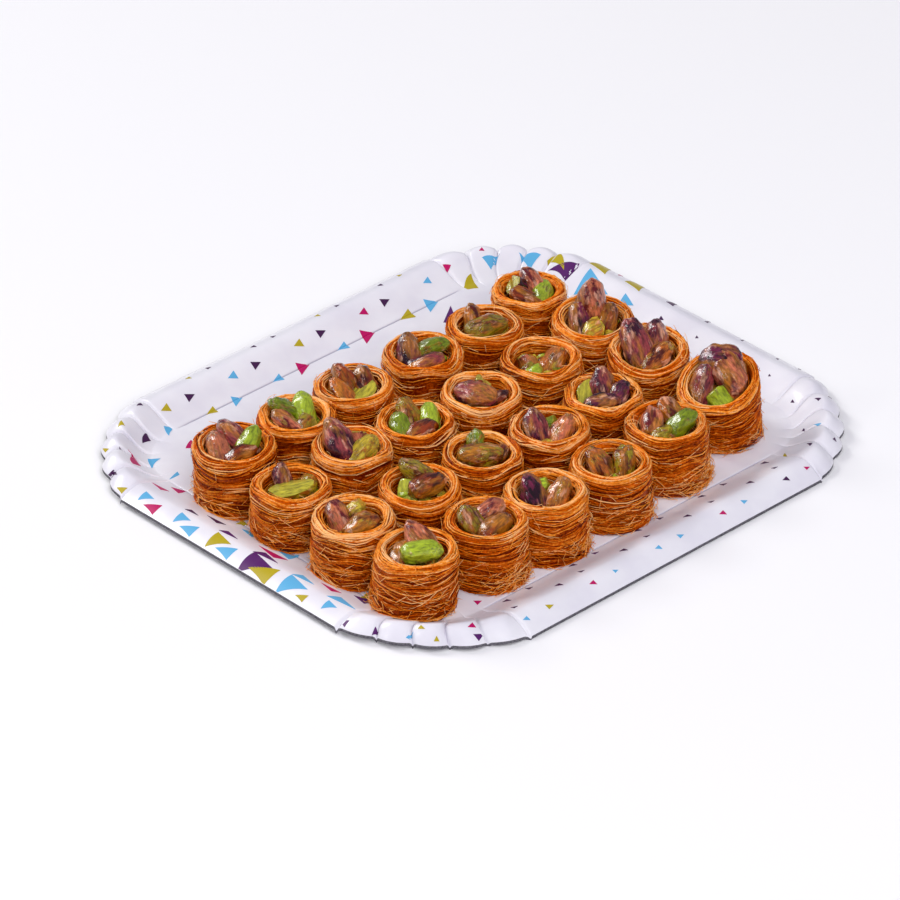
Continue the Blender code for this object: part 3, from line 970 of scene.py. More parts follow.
    def build_print(self) -> list[bpy.types.Object]:
        """The rows of triangles, one piece for each ink.

        Returns:
            The ink pieces.
        """
        gathered = {ink: MeshParts() for ink in Ink}
        for row in PRINT_ROWS:
            for ink, corners, bow, place in row.triangles(self.form):
                gathered[ink].add(*self.patch(corners, bow, place))
        layers = []
        for ink, parts in gathered.items():
            layer = parts.build(f"print_{ink.name.lower()}", [OffsetPrint(ink).material()])
            layer.data.set_sharp_from_angle(angle=self.ink_sharp)
            layers.append(layer)
        return layers


@dataclass(frozen=True)
class PrintRow:
    """One row of printed triangles along a side or round a corner, in millimetres.

    The artwork stands level as the tray is seen from its front corner, so widths and heights are those seen
    from there. Where a row is flat, they are those that it would show on a level sheet, and the wall
    foreshortens it. Fall is how far a triangle's level edge drops to the right, as a share of its width.
    """

    number: int
    out: float
    upright: bool
    reach: tuple[float, float]
    widths: tuple[float, ...]
    inks: tuple[Ink, ...]
    high: float = 0.8
    fall: float = 0.0
    flat: bool = False
    corner: bool = False
    bow: float = 0.0
    soften: float = 0.03

    def seen_from(self, place: Any, along: float, out: float) -> np.ndarray:
        """How steps along and out show from the front corner, as (right, up) by (along, out).

        Args:
            place: The row's placing function.
            along: Where along the row.
            out: How far out from the crease.

        Returns:
            The two by two matrix.
        """
        step = 0.4 * MM
        sideways = along + step * np.array([-1.0, 1.0, 0.0, 0.0])
        outwards = out + step * np.array([0.0, 0.0, -1.0, 1.0])
        points = place(sideways, outwards)
        onward = (points[1] - points[0]) / (2 * step)
        outward = (points[3] - points[2]) / (2 * step)
        if self.flat:
            outward = unit(outward * (1.0, 1.0, 0.0))
        right, up, _ = Studio().directions()
        return np.array([[onward @ right, outward @ right], [onward @ up, outward @ up]])

    def triangles(self, form: TrayForm) -> list[tuple]:
        """Lays the row.

        Args:
            form: The tray that it is printed on.

        Returns:
            Ink, corners, bow and placing function of each triangle.
        """
        length = 2 * form.straight_half(self.number)
        if self.corner:
            length = (form.corner + 0.5 * form.crest_out) * math.pi / 2

        def place(along: np.ndarray, out: np.ndarray) -> np.ndarray:
            """Points on the card at distances along the row and out from the crease."""
            if self.corner:
                return form.on_corner(self.number, np.clip(along / length, 0.0, 1.0), out)
            return form.on_side(self.number, np.clip(along - length / 2, -length / 2, length / 2), out)

        laid = []
        shares = np.linspace(0.0, 1.0, len(self.inks)) if len(self.inks) > 1 else np.zeros(1)
        widths = np.interp(shares, np.linspace(0.0, 1.0, len(self.widths)), self.widths)
        for share, width, ink in zip(shares, widths, self.inks):
            at = self.reach[0] + (self.reach[1] - self.reach[0]) * share
            at *= length if self.corner else MM
            tip = 0.5 * width * self.high * (1.0 if self.upright else -1.0)
            drop = 0.5 * width * self.fall
            seen = np.array([[-0.5 * width, drop - tip], [0.5 * width, -drop - tip], [0.0, tip]]) * MM
            view = self.seen_from(place, at, self.out * MM)
            # A little softening keeps triangles small where the wall is seen edge on.
            back = view.T @ np.linalg.inv(view @ view.T + self.soften * np.eye(2))
            centre = np.array([at, self.out * MM])
            laid.append((ink, seen @ back.T + centre, self.bow * width * MM, place))
        return laid


def side(*args: Any, **changes: Any) -> PrintRow:
    """A row along a straight side."""
    return PrintRow(*args, **changes)


def round_corner(*args: Any, **changes: Any) -> PrintRow:
    """A row round a corner, which reaches over shares of its arc."""
    return PrintRow(*args, corner=True, **changes)


# The inks' short names in the table below.
OL, SK, MA, PL, AU = Ink
PRINT_ROWS = (
    side(1, 10.9, True, (12, 165), (4.0, 4.6, 4.6), (SK, MA, OL, SK, OL), high=0.76),
    side(1, 10.0, False, (38.8, 152.8), (4.6,), (AU, AU, AU, AU), high=0.78),
    side(1, 0.6, True, (33.6, 148), (7.3, 5.6, 5.2, 5.1), (OL, SK, SK, OL), high=0.86),
    side(1, -1.6, False, (22, 136.4), (6.8, 7.0, 6.3, 5.2), (SK, MA, MA, SK), high=0.80),
    side(1, -12.2, True, (20, 20), (6.4,), (PL,), high=1.3),
    side(1, 20.3, True, (31.6, 144), (2.8,), (AU, OL, AU, OL), high=0.46, flat=True),
    side(1, 20.2, False, (20.4, 133), (2.6,), (OL, AU, AU, AU), high=0.46, flat=True),
    round_corner(1, 5.8, True, (0.25, 0.25), (4.6,), (AU,), high=0.95),
    round_corner(1, 0.5, False, (0.06, 0.56), (4.3, 4.4), (SK, SK), high=1.0),
    round_corner(1, -5.2, True, (0.96, 0.96), (5.8,), (SK,), high=0.72),
    round_corner(1, -13.0, True, (0.09, 0.09), (5.4,), (MA,), high=0.9),
    round_corner(1, 10.4, True, (0.63, 0.63), (4.8,), (MA,), high=0.75, flat=True),
    round_corner(1, 17.8, True, (0.06, 0.60), (3.0, 4.6, 3.4), (AU, OL, AU), high=0.46, flat=True),
    round_corner(1, 24.8, True, (0.80, 0.80), (6.0,), (AU,), high=0.46),
    round_corner(1, 25.4, False, (0.56, 0.97), (3.2, 5.0), (OL, OL), high=0.55),
    side(
        2, 20.3, True, (9.2, 121.2), (7.2, 7.8, 11.4, 15.6, 13.8, 6.8), (SK, SK, OL, PL, SK, SK),
        high=0.48, bow=0.045,
    ),
    side(
        2, 24.6, False, (17.6, 109.2), (8.4, 8.9, 9.9, 13.9, 5.8), (MA, SK, SK, OL, OL),
        high=0.52, bow=0.03,
    ),
    side(2, 14.2, True, (31, 122), (6.0, 8.2, 10.8, 9.4, 12.0), (AU, PL, PL, SK, SK), high=0.20, fall=0.52),
    side(2, 10.4, False, (7.2, 112), (7.4, 8.0, 12.4, 8.6), (MA, AU, MA, MA), high=0.20, fall=0.56),
    side(
        2, 3.4, False, (10.4, 124), (6.7, 6.3, 8.4, 9.3, 8.0, 8.6), (MA, AU, SK, SK, AU, PL),
        high=0.30, fall=0.32,
    ),
    side(2, -0.9, True, (45.2, 121), (5.2, 7.0, 5.6), (OL, PL, OL, OL), high=0.46, flat=True),
    round_corner(2, 25.2, False, (0.02, 0.76), (4.6, 3.3, 4.6), (PL, SK, PL), high=0.62),
    round_corner(2, 24.8, True, (0.19, 0.54), (3.2, 2.3), (PL, OL), high=1.0),
    round_corner(2, 19.6, True, (0.46, 0.75), (3.0, 3.4), (OL, MA), high=0.46, flat=True),
    side(3, 21.8, True, (3.6, 154.8), (3.2, 3.4, 3.2, 3.4, 3.4), (SK, MA, SK, MA, AU), high=0.50),
    side(3, 22.2, False, (16, 166.8), (3.7, 2.6, 3.3, 3.2, 2.8), (OL, SK, SK, SK, MA), high=0.50),
    side(3, 14.6, True, (29.4, 141), (3.8,), (AU, AU, AU, AU), high=0.34, flat=True),
    side(3, 13.9, False, (4.8, 156.4), (3.0,), (AU, AU, AU, AU, AU), high=0.34, flat=True),
    side(3, 3.0, True, (11.2, 162), (3.8,), (AU, AU, AU, AU, AU), high=0.34, flat=True),
    side(3, 3.2, False, (23.6, 137), (3.4,), (AU, PL, AU, AU), high=0.34, flat=True),
    side(3, -4.6, False, (2, 128), (3.6,), (MA, MA, MA), high=0.50, flat=True),
    round_corner(3, 14.6, False, (0.13, 0.70), (2.4, 3.2, 2.6), (AU, SK, AU), high=0.55),
    round_corner(3, 6.0, True, (0.02, 0.89), (2.0, 1.8, 1.8), (OL, AU, AU), high=0.8),
    round_corner(3, 23.4, True, (0.30, 0.75), (2.0, 2.2), (AU, AU), high=0.5, flat=True),
    side(
        0, 22.6, False, (18, 124), (1.7, 1.8, 2.3, 5.6, 11.8, 13.2), (AU, AU, AU, AU, OL, OL),
        high=0.44, bow=0.03,
    ),
    side(
        0, 11.2, True, (12, 121), (1.3, 1.3, 1.5, 2.4, 7.0, 15.4), (AU, AU, AU, AU, SK, SK),
        high=0.84, bow=0.03,
    ),
    side(0, 25.6, True, (8, 117), (1.8, 2.0, 2.6), (AU, AU, MA), high=0.5),
    round_corner(0, 9.4, False, (0.03, 0.64), (11.6, 9.8, 7.6), (PL, SK, SK), high=0.86, bow=0.03),
    round_corner(0, 16.0, True, (0.17, 0.17), (10.6,), (OL,), high=0.50),
    round_corner(0, 1.6, True, (0.90, 0.90), (8.0,), (OL,), high=1.02),
    round_corner(0, 12.2, False, (0.985, 0.985), (4.4,), (MA,), high=0.78),
    round_corner(0, 15.8, True, (0.70, 0.70), (2.6,), (MA,), high=0.6),
)


@dataclass
class RollPlace:
    """Where one roll stands, how it leans and how it differs from the usual, in metres."""

    column: int
    row: int
    nudge: tuple[float, float] = (0.0, 0.0)
    height_share: float = 1.0
    radius_share: float = 1.0
    lean: tuple[float, float] = (0.0, 0.0)
    slant: tuple[float, float] = (0.0, 0.0)
    flare: float = 0.0
    fray: float = 1.0
    fray_bearing: float | None = None

    base_height: float = 26.5 * MM
    base_radius: float = 17.0 * MM
    wall: float = 4.6 * MM
    column_pitch: float = 36.0 * MM
    row_pitch: float = 37.4 * MM
    layout_centre: tuple[float, float] = (-13.5 * MM, -17.4 * MM)
    middle_column: float = 2.5
    middle_row: float = 1.5
    column_shifts_mm: tuple[float, ...] = (0.0, 0.0, -1.2, -4.0, -1.5, 6.9)
    tray_top: float = 1.2 * MM

    def __post_init__(self) -> None:
        """Works out the roll's own sizes."""
        shift = self.column_shifts_mm[self.column] * MM
        across = (self.column - self.middle_column) * self.column_pitch
        along = (self.row - self.middle_row) * self.row_pitch
        self.height = self.base_height * self.height_share
        self.radius = self.base_radius * self.radius_share
        self.inner = self.radius - self.wall
        self.rim = self.tray_top + self.height
        self.top = np.array([
            self.layout_centre[0] + across + self.nudge[0],
            self.layout_centre[1] + along + shift + self.nudge[1],
        ])

    def axis(self, z: np.ndarray) -> np.ndarray:
        """The roll's middle at heights z, as rows of x and y."""
        share = (np.asarray(z) - self.tray_top) / self.height
        return self.top - np.asarray(self.lean) * (1.0 - share)[..., None]

    def tipped(self, flat: np.ndarray, z: np.ndarray) -> np.ndarray:
        """Heights z with the mouth's slant put on, for points that lie at flat."""
        share = np.clip((z - self.tray_top) / self.height, 0.0, 1.0)
        return z + ((flat - self.axis(z)) * np.asarray(self.slant)).sum(-1) * share

    @property
    def label(self) -> str:
        """The roll's part of its node's name."""
        return f"c{self.column + 1}_r{self.row + 1}"


def roll(column: int, row: int, dx: float = 0.0, dy: float = 0.0, **changes: Any) -> RollPlace:
    """One roll, noted in millimetres.

    Args:
        column: Its column in the grid.
        row: Its row.
        dx: How far it stands from its place in the grid along X.
        dy: How far along Y.
        changes: What else differs from the usual; lean and flare are in millimetres too.

    Returns:
        Where and how it stands.
    """
    lean = tuple(value * MM for value in changes.pop("lean", (0.0, 0.0)))
    flare = changes.pop("flare", 0.0) * MM
    return RollPlace(column, row, (dx * MM, dy * MM), lean=lean, flare=flare, **changes)


ROLLS = (
    roll(0, 0, 2.6, 1.6, radius_share=1.01, lean=(1.2, -1.6), flare=0.4, fray=1.3),
    roll(0, 1, 0.6, 0.0, radius_share=1.01),
    roll(0, 2, 1.4, 1.0, height_share=0.90, radius_share=0.99),
    roll(0, 3, 1.7, -0.6, height_share=1.02, radius_share=1.04, lean=(-1.2, 1.0), flare=0.8),
    roll(1, 0, 2.4, -1.1, radius_share=1.02, flare=0.6, fray=1.6, fray_bearing=320),
    roll(1, 1, 0.1, -1.9, height_share=1.02),
    roll(1, 2, 1.0, 2.5, radius_share=0.99),
    roll(1, 3, 0.7, -0.4, radius_share=0.97, height_share=0.98),
    roll(2, 0, -1.0, -1.5, radius_share=1.02, lean=(0.8, 1.0), flare=0.8, fray=1.5, fray_bearing=350),
    roll(2, 1, 0.6, 0.5, radius_share=0.99),
    roll(2, 2, -2.8, -0.3, radius_share=0.98),
    roll(2, 3, -2.6, 0.5, height_share=1.03),
    roll(3, 0, -1.6, -1.0, flare=0.6, fray=1.3, fray_bearing=10),
    roll(3, 1, -1.2, -1.6, radius_share=0.99),
    roll(3, 2, -3.1, 0.0, radius_share=1.01),
    roll(3, 3, 0.5, 2.2, radius_share=1.01, height_share=1.02),
    roll(4, 0, -0.2, 0.9, radius_share=1.02, flare=1.4, height_share=1.02, fray=2.4, fray_bearing=340),
    roll(4, 1, -2.4, -0.9, radius_share=0.99),
    roll(4, 2, -0.3, 1.1, radius_share=1.02, height_share=0.97),
    roll(4, 3, 0.1, -1.0, radius_share=0.98),
    roll(
        5, 0, 0.6, -1.3, radius_share=1.04, height_share=1.08, lean=(-3.6, -2.4), slant=(0.34, 0.10),
        flare=0.6,
    ),
    roll(5, 1, 0.0, 1.8, radius_share=1.01, slant=(0.14, 0.12), fray=2.2, fray_bearing=40),
    roll(
        5, 2, 0.5, -1.9, radius_share=1.04, height_share=1.03, lean=(0.6, 0.8), slant=(0.06, 0.07),
        fray=2.0, fray_bearing=30,
    ),
    roll(5, 3, -1.4, -1.5, radius_share=0.95, height_share=0.98),
)


@dataclass
class KunafaRoll:
    """One roll: wound strands over a core, from its foot over its rim and down its cup."""

    place: RollPlace
    tray: TrayForm
    neighbours: list[RollPlace]
    strand: float = 0.27 * MM
    pitch: float = 0.60 * MM
    layers: float = 2.1
    turn_points: int = 21
    seed: int = 1000
    belly: tuple[tuple[float, float], ...] = ((0.22, 1.012), (0.56, 0.990), (0.86, 0.985))
    rim_rise: float = 2.0 * MM
    cup_depth: float = 9.0 * MM
    cup_draft: float = 0.05
    wall_steps: int = 30
    rim_steps: int = 14
    cup_steps: int = 12
    core_sides: int = 44
    core_steps: int = 12
    core_inset: float = 0.75 * MM
    gap_shade_tone: float = 0.14
    gap_shade_rim_tone: float = 0.24
    lightest: float = 1.1
    unevenness: float = 0.6 * MM
    noise_size: float = 11.0 * MM
    swell_columns: int = 36
    swell_rows: int = 11
    wave_amounts_mm: tuple[float, ...] = (0.6, 0.55, 0.45, 0.35, 0.28, 0.22)
    lock_spacing: float = 0.85
    sprung_share: float = 0.14
    bright_share: float = 0.13
    bright_tone: float = 0.34
    neighbour_gap: float = 0.6 * MM

    def __post_init__(self) -> None:
        """Works out the cup's section, its slow swell and the roll's own waves."""
        place = self.place
        draw = np.random.default_rng(self.seed + place.column * 10 + place.row)
        self.draw = draw
        shoulder = place.height - self.rim_rise
        z = np.linspace(0.0, shoulder, self.wall_steps)
        shares = [0.0] + [share for share, _ in self.belly]
        sizes = [place.radius + place.flare] + [place.radius * size for _, size in self.belly]
        r = np.interp(z / place.height, shares, sizes)
        outer = sizes[-1]
        half = (outer - place.inner) / 2
        arc = np.linspace(0.0, math.pi, self.rim_steps)[1:]
        rim_r = outer - half + half * np.cos(arc)
        rim_z = shoulder + self.rim_rise * np.sin(arc)
        down = np.linspace(shoulder, place.height - self.cup_depth, self.cup_steps)[1:]
        inner_r = place.inner - (shoulder - down) * self.cup_draft
        self.section_r = np.concatenate([r, rim_r, inner_r])
        self.section_z = np.concatenate([z, rim_z, down])
        steps = np.hypot(np.diff(self.section_r), np.diff(self.section_z))
        self.section_s = np.concatenate([[0.0], np.cumsum(steps)])
        self.shoulder_s = self.section_s[self.wall_steps - 1]
        self.lip_s = self.section_s[self.wall_steps + self.rim_steps - 2]
        self.end_s = self.section_s[-1]
        slope_r = np.gradient(self.section_r, self.section_s)
        slope_z = np.gradient(self.section_z, self.section_s)
        self.normal_r, self.normal_z = slope_z, -slope_r
        self.waves = [
            (draw.integers(1, 6), draw.uniform(-500, 500), draw.uniform(0, LAST_PHASE), amount * MM)
            for amount in self.wave_amounts_mm
        ]
        self.swell_height = place.height * 1.1
        offset = Vector((place.column * 3.1, place.row * 5.3, 0.7))
        rows = []
        for height in np.linspace(0.0, self.swell_height, self.swell_rows + 1):
            row = []
            for angle in np.linspace(0.0, WHOLE_TURN, self.swell_columns + 1):
                x, y = math.cos(angle) * place.radius, math.sin(angle) * place.radius
                row.append(noise.noise(Vector((x, y, place.tray_top + height)) / self.noise_size + offset))
            rows.append(row)
        self.uneven = np.array(rows) * self.unevenness

    def uneven_at(self, theta: np.ndarray, z: np.ndarray) -> np.ndarray:
        """The wall's slow swell in and out, the same as the solid's.

        Args:
            theta: Angles round the roll.
            z: Heights over the foot.

        Returns:
            How far the wall stands out there.
        """
        column = (theta % WHOLE_TURN) / WHOLE_TURN * self.swell_columns
        row = np.clip(z / self.swell_height, 0.0, 0.999) * self.swell_rows
        i, j = column.astype(int) % self.swell_columns, row.astype(int)
        u, v = column - column.astype(int), row - j
        grid = self.uneven
        low = grid[j, i] * (1 - u) + grid[j, i + 1] * u
        high = grid[j + 1, i] * (1 - u) + grid[j + 1, i + 1] * u
        return low * (1 - v) + high * v

    def surface(self, theta: np.ndarray, s: np.ndarray, lift: np.ndarray) -> tuple[np.ndarray, np.ndarray]:
        """Points over the cup's surface.

        Args:
            theta: Angles round the roll.
            s: Distances along the section from the foot.
            lift: Heights over the surface.

        Returns:
            The points, and the surface's outward directions there.
        """
        place = self.place
        r = np.interp(s, self.section_s, self.section_r)
        z = np.interp(s, self.section_s, self.section_z)
        normal_r = np.interp(s, self.section_s, self.normal_r)
        normal_z = np.interp(s, self.section_s, self.normal_z)
        outside = 1.0 - smoothstep(self.shoulder_s, self.lip_s, s)
        r = r + self.uneven_at(theta, z) * outside + lift * normal_r
        z = z + lift * normal_z + place.tray_top
        middle = place.axis(z)
        flat = middle + r[..., None] * np.stack([np.cos(theta), np.sin(theta)], -1)
        for other in self.neighbours:
            away = other.axis(z) - middle
            distance = np.linalg.norm(away, axis=-1, keepdims=True)
            direction = away / distance
            reach = ((flat - middle) * direction).sum(-1, keepdims=True)
            over = reach - (distance - self.neighbour_gap) / 2 + self.strand
            flat = flat - direction * np.maximum(over, 0.0)
        z = place.tipped(flat, z)
        z = np.maximum(z, self.tray.top(flat[..., 0], flat[..., 1]) + self.strand)
        normal = unit(np.stack([normal_r * np.cos(theta), normal_r * np.sin(theta), normal_z], -1))
        return np.concatenate([flat, z[..., None]], -1), normal

    def sway(self, theta: np.ndarray, s: np.ndarray) -> np.ndarray:
        """How far neighbouring strands drift together along the section, which bunches them and parts them.

        Args:
            theta: Angles round the roll.
            s: Distances along the section from the foot.

        Returns:
            The drifts.
        """
        fade = smoothstep(0.0, 2.5 * MM, s) * (1.0 - 0.6 * smoothstep(self.shoulder_s, self.lip_s, s))
        return fade * sum(
            amount * np.sin(count * theta + rate * s + phase)
            for count, rate, phase, amount in self.waves
        )

    def wind(
        self,
        parts: MeshParts,
        low: float,
        high: float,
        layers: float,
        tone: float,
        half_width: float = 0.0,
        half_height: float = 0.0,
        lift: tuple[float, float] = (-0.42, 0.40),
        slant: float = 0.9,
        turns: tuple[float, float] = (0.35, 0.85),
        depth_shade: float = 0.46,
        lock: int = 5,
    ) -> None:
        """Winds strands round part of the section, in locks that lie side by side and cross a little.

        Args:
            parts: Gets the strands.
            low: Where along the section they start.
            high: Where they end.
            layers: How many times they cover it.
            tone: How light they are, from 0 to 1.
            half_width: Half a strand's width, or 0 for the usual.
            half_height: Half its height, or 0 for the usual.
            lift: Lowest and highest place over the surface, in millimetres.
            slant: How far a strand climbs or falls along its run, in millimetres.
            turns: Shortest and longest run, in turns.
            depth_shade: How much lighter the highest strands are than the lowest, as painted shade.
            lock: How many strands run together.
        """
        half_width = half_width or self.strand
        half_height = half_height or self.strand
        mean = sum(turns) / 2
        locks = max(round(layers * (high - low) / self.pitch / mean / lock), 1)
        count = locks * lock
        points = int(self.turn_points * mean) + 2
        draw = self.draw

        def each(values: np.ndarray) -> np.ndarray:
            """A lock's value for each of its strands."""
            return np.repeat(values, lock)

        middle = each(low + (high - low) * (np.arange(locks) + draw.random(locks)) / locks)
        abreast = np.tile(np.arange(lock) - (lock - 1) / 2, locks) * self.pitch * self.lock_spacing
        middle = middle + abreast + draw.normal(0.0, 0.2 * MM, count)
        start = each(draw.random(locks) * WHOLE_TURN) + draw.normal(0.0, 0.35, count)
        run = each(draw.uniform(*turns, locks) * draw.choice([-1.0, 1.0], locks))
        run = run * draw.uniform(0.7, 1.15, count) * WHOLE_TURN
        climb = each(draw.normal(0.0, slant * MM, locks)) + draw.normal(0.0, 0.3 * MM, count)
        wave = each(draw.uniform(0.05, 0.5, locks)) * MM
        beat = each(draw.integers(2, 6, locks))
        phase = each(draw.random(locks) * LAST_PHASE) + draw.normal(0.0, 0.25, count)
        t = np.linspace(0.0, 1.0, points)
        theta = start[:, None] + run[:, None] * t
        s = middle[:, None] + climb[:, None] * (t - 0.5)
        s = s + wave[:, None] * np.sin(theta * beat[:, None] + phase[:, None])
        s = s + self.sway(theta, s)
        s = np.clip(s, 0.15 * MM, self.end_s)
        level = 0.5 * each(draw.random(locks)) + 0.5 * draw.random(count)
        height = (lift[0] + (lift[1] - lift[0]) * level)[:, None] * MM
        height = height + 0.1 * MM * np.sin(theta * 5 + start[:, None] * 7)
        ends = np.minimum(t, 1.0 - t) * points
        tuck = smoothstep(0.0, 2.5, ends)
        # Some ends have sprung off the roll, the others lie under their neighbours.
        sprung = np.where(draw.random(count) < self.sprung_share, draw.uniform(-1.4, -0.3, count), 0.35)
        height = height - (1.0 - tuck) * sprung[:, None] * MM
        size = draw.uniform(0.62, 1.22, count)[:, None] * (0.3 + 0.7 * tuck)
        lines, normal = self.surface(theta, s, height)
        shell, quads = tubes(lines, normal, half_width * size, half_height * size)
        # Painted shade: low-lying strands are drawn darker, high ones lighter; the rest differs at random.
        shade = tone + depth_shade * (level - 0.5) + each(draw.normal(0.0, 0.08, locks))
        shade = shade + draw.normal(0.0, 0.15, count)
        shade = shade + np.where(draw.random(count) < self.bright_share, self.bright_tone, 0.0)
        parts.add(shell, quads, tone=np.repeat(np.clip(shade, 0.0, self.lightest), points * TUBE_SIDES))

    def build_core(self, parts: MeshParts) -> None:
        """The body of dough under the strands, closed at the foot and at the cup's floor.

        Args:
            parts: Gets the body.
        """
        sides = self.core_sides
        outside = np.linspace(0.3 * MM, self.shoulder_s, self.core_steps)
        inside = np.linspace(self.shoulder_s, self.end_s, self.core_steps)[1:]
        s = np.concatenate([outside, inside])
        theta, along = np.meshgrid(np.linspace(0.0, WHOLE_TURN, sides + 1)[:-1], s)
        lumps = 0.25 * MM * np.sin(theta * 3 + along * 900)
        points, _ = self.surface(theta, along, lumps - self.core_inset)
        points = points.reshape(-1, 3)
        foot = np.append(points[:sides, :2].mean(0), points[:sides, 2].mean())
        floor = np.append(points[-sides:, :2].mean(0), points[-sides:, 2].mean() - 0.6 * MM)
        points = np.concatenate([points, [foot, floor]])
        # Painted shade: the core is dark so gaps between strands show dark; it is lighter under the rim.
        on_rim = smoothstep(self.shoulder_s - 2.0 * MM, self.shoulder_s, s)
        on_rim = on_rim * (1.0 - smoothstep(self.lip_s, self.lip_s + 3.0 * MM, s))
        tone = np.repeat(self.gap_shade_tone + self.gap_shade_rim_tone * on_rim, sides)
        tone = np.concatenate([tone, [self.gap_shade_tone, self.gap_shade_tone]])
        parts.add(points, capped_rings(len(s), sides), tone=tone)

    def build_loose_ends(self, parts: MeshParts) -> None:
        """Short broken strands that stick out at the foot, over the shoulder and inside the rim.

        Args:
            parts: Gets the strands.
        """
        place = self.place
        draw = self.draw
        # How many, where they start along the section, least and most rise, and lengths in millimetres.
        groups = (
            (int(90 * place.fray), 0.3 * MM, 9.0 * MM, 0.10, 0.60, (2.0, 6.5)),
            (int(44 * place.fray), 5.0 * MM, self.shoulder_s, 0.06, 0.30, (3.5, 9.0)),
            (12, self.shoulder_s, self.lip_s, 0.06, 0.3, (3.0, 6.0)),
            (8, self.lip_s, self.end_s - 2.0 * MM, 0.15, 0.5, (3.0, 6.0)),
        )
        points = 6
        t = np.linspace(0.0, 1.0, points)
        for count, low, high, least, most, lengths in groups:
            theta0 = draw.random(count) * WHOLE_TURN
            if place.fray_bearing is not None and low < 1.0 * MM:
                bearing = math.radians(place.fray_bearing) + PICTURE_TURN
                theta0 = np.where(draw.random(count) < 0.6, bearing + draw.normal(0.0, 0.55, count), theta0)
            s0 = draw.uniform(low, high, count)
            run = draw.uniform(*lengths, count) * MM
            turn = draw.choice([-1.0, 1.0], count)
            tilt = draw.normal(0.0, 0.55, count)
            rise = draw.uniform(least, most, count)
            theta = theta0[:, None] + (turn * run * np.cos(tilt) / place.radius)[:, None] * t
            s = s0[:, None] + (run * np.sin(tilt))[:, None] * t
            lift = (run * rise)[:, None] * t ** 1.6 + 0.15 * MM
            inside = s0[:, None] > self.lip_s
            lift = np.minimum(lift, np.where(inside, 1.4 * MM, 2.6 * MM))
            lines, normal = self.surface(theta, np.clip(s, 0.2 * MM, self.end_s), lift)
            width = self.strand * draw.uniform(0.6, 0.95, count)[:, None] * (1.0 - 0.55 * t)
            shell, quads = tubes(lines, normal, width, width)
            shade = np.clip(draw.normal(0.80, 0.16, count), 0.2, self.lightest)
            parts.add(shell, quads, tone=np.repeat(shade, points * TUBE_SIDES))

    def build(self, material: bpy.types.Material) -> bpy.types.Object:
        """Makes the whole roll.

        Args:
            material: The dough.

        Returns:
            The roll's piece.
        """
        parts = MeshParts()
        self.build_core(parts)
        half = 0.55 * self.shoulder_s
        # Painted light: the rim and upper strands are drawn lighter than the body, and the cup's inside too.
        self.wind(parts, 0.1 * MM, self.shoulder_s, self.layers, 0.31, slant=1.2)
        self.wind(
            parts, 0.4 * MM, half, 0.95, 0.42,
            lift=(0.0, 0.75), slant=5.2, turns=(0.08, 0.26), lock=3,
        )
        self.wind(
            parts, half, self.shoulder_s, 0.22, 0.56,
            lift=(0.1, 0.5), slant=2.0, turns=(0.12, 0.40), lock=2,
        )
        self.wind(
            parts, self.shoulder_s - 1.5 * MM, self.lip_s, 2.0, 0.62,
            half_width=0.42 * MM, half_height=0.32 * MM, lift=(-0.3, 0.2), slant=0.8, turns=(0.5, 1.1),
            depth_shade=0.3, lock=4,
        )
        self.wind(
            parts, self.lip_s, self.end_s, 1.5, 0.46,
            lift=(-0.2, 0.25), slant=1.6, depth_shade=0.3, lock=4,
        )
        self.build_loose_ends(parts)
        return parts.build(f"strands_{self.place.label}", [material])


@dataclass(frozen=True)
class Kernel:
    """One pistachio in a filling, in millimetres and degrees.

    Bearings are as seen from the tray's front corner, 0 to the right and 90 away.
    """

    bearing: float
    out: float
    lift: float
    heading: float
    pitch: float
    size: float = 1.0


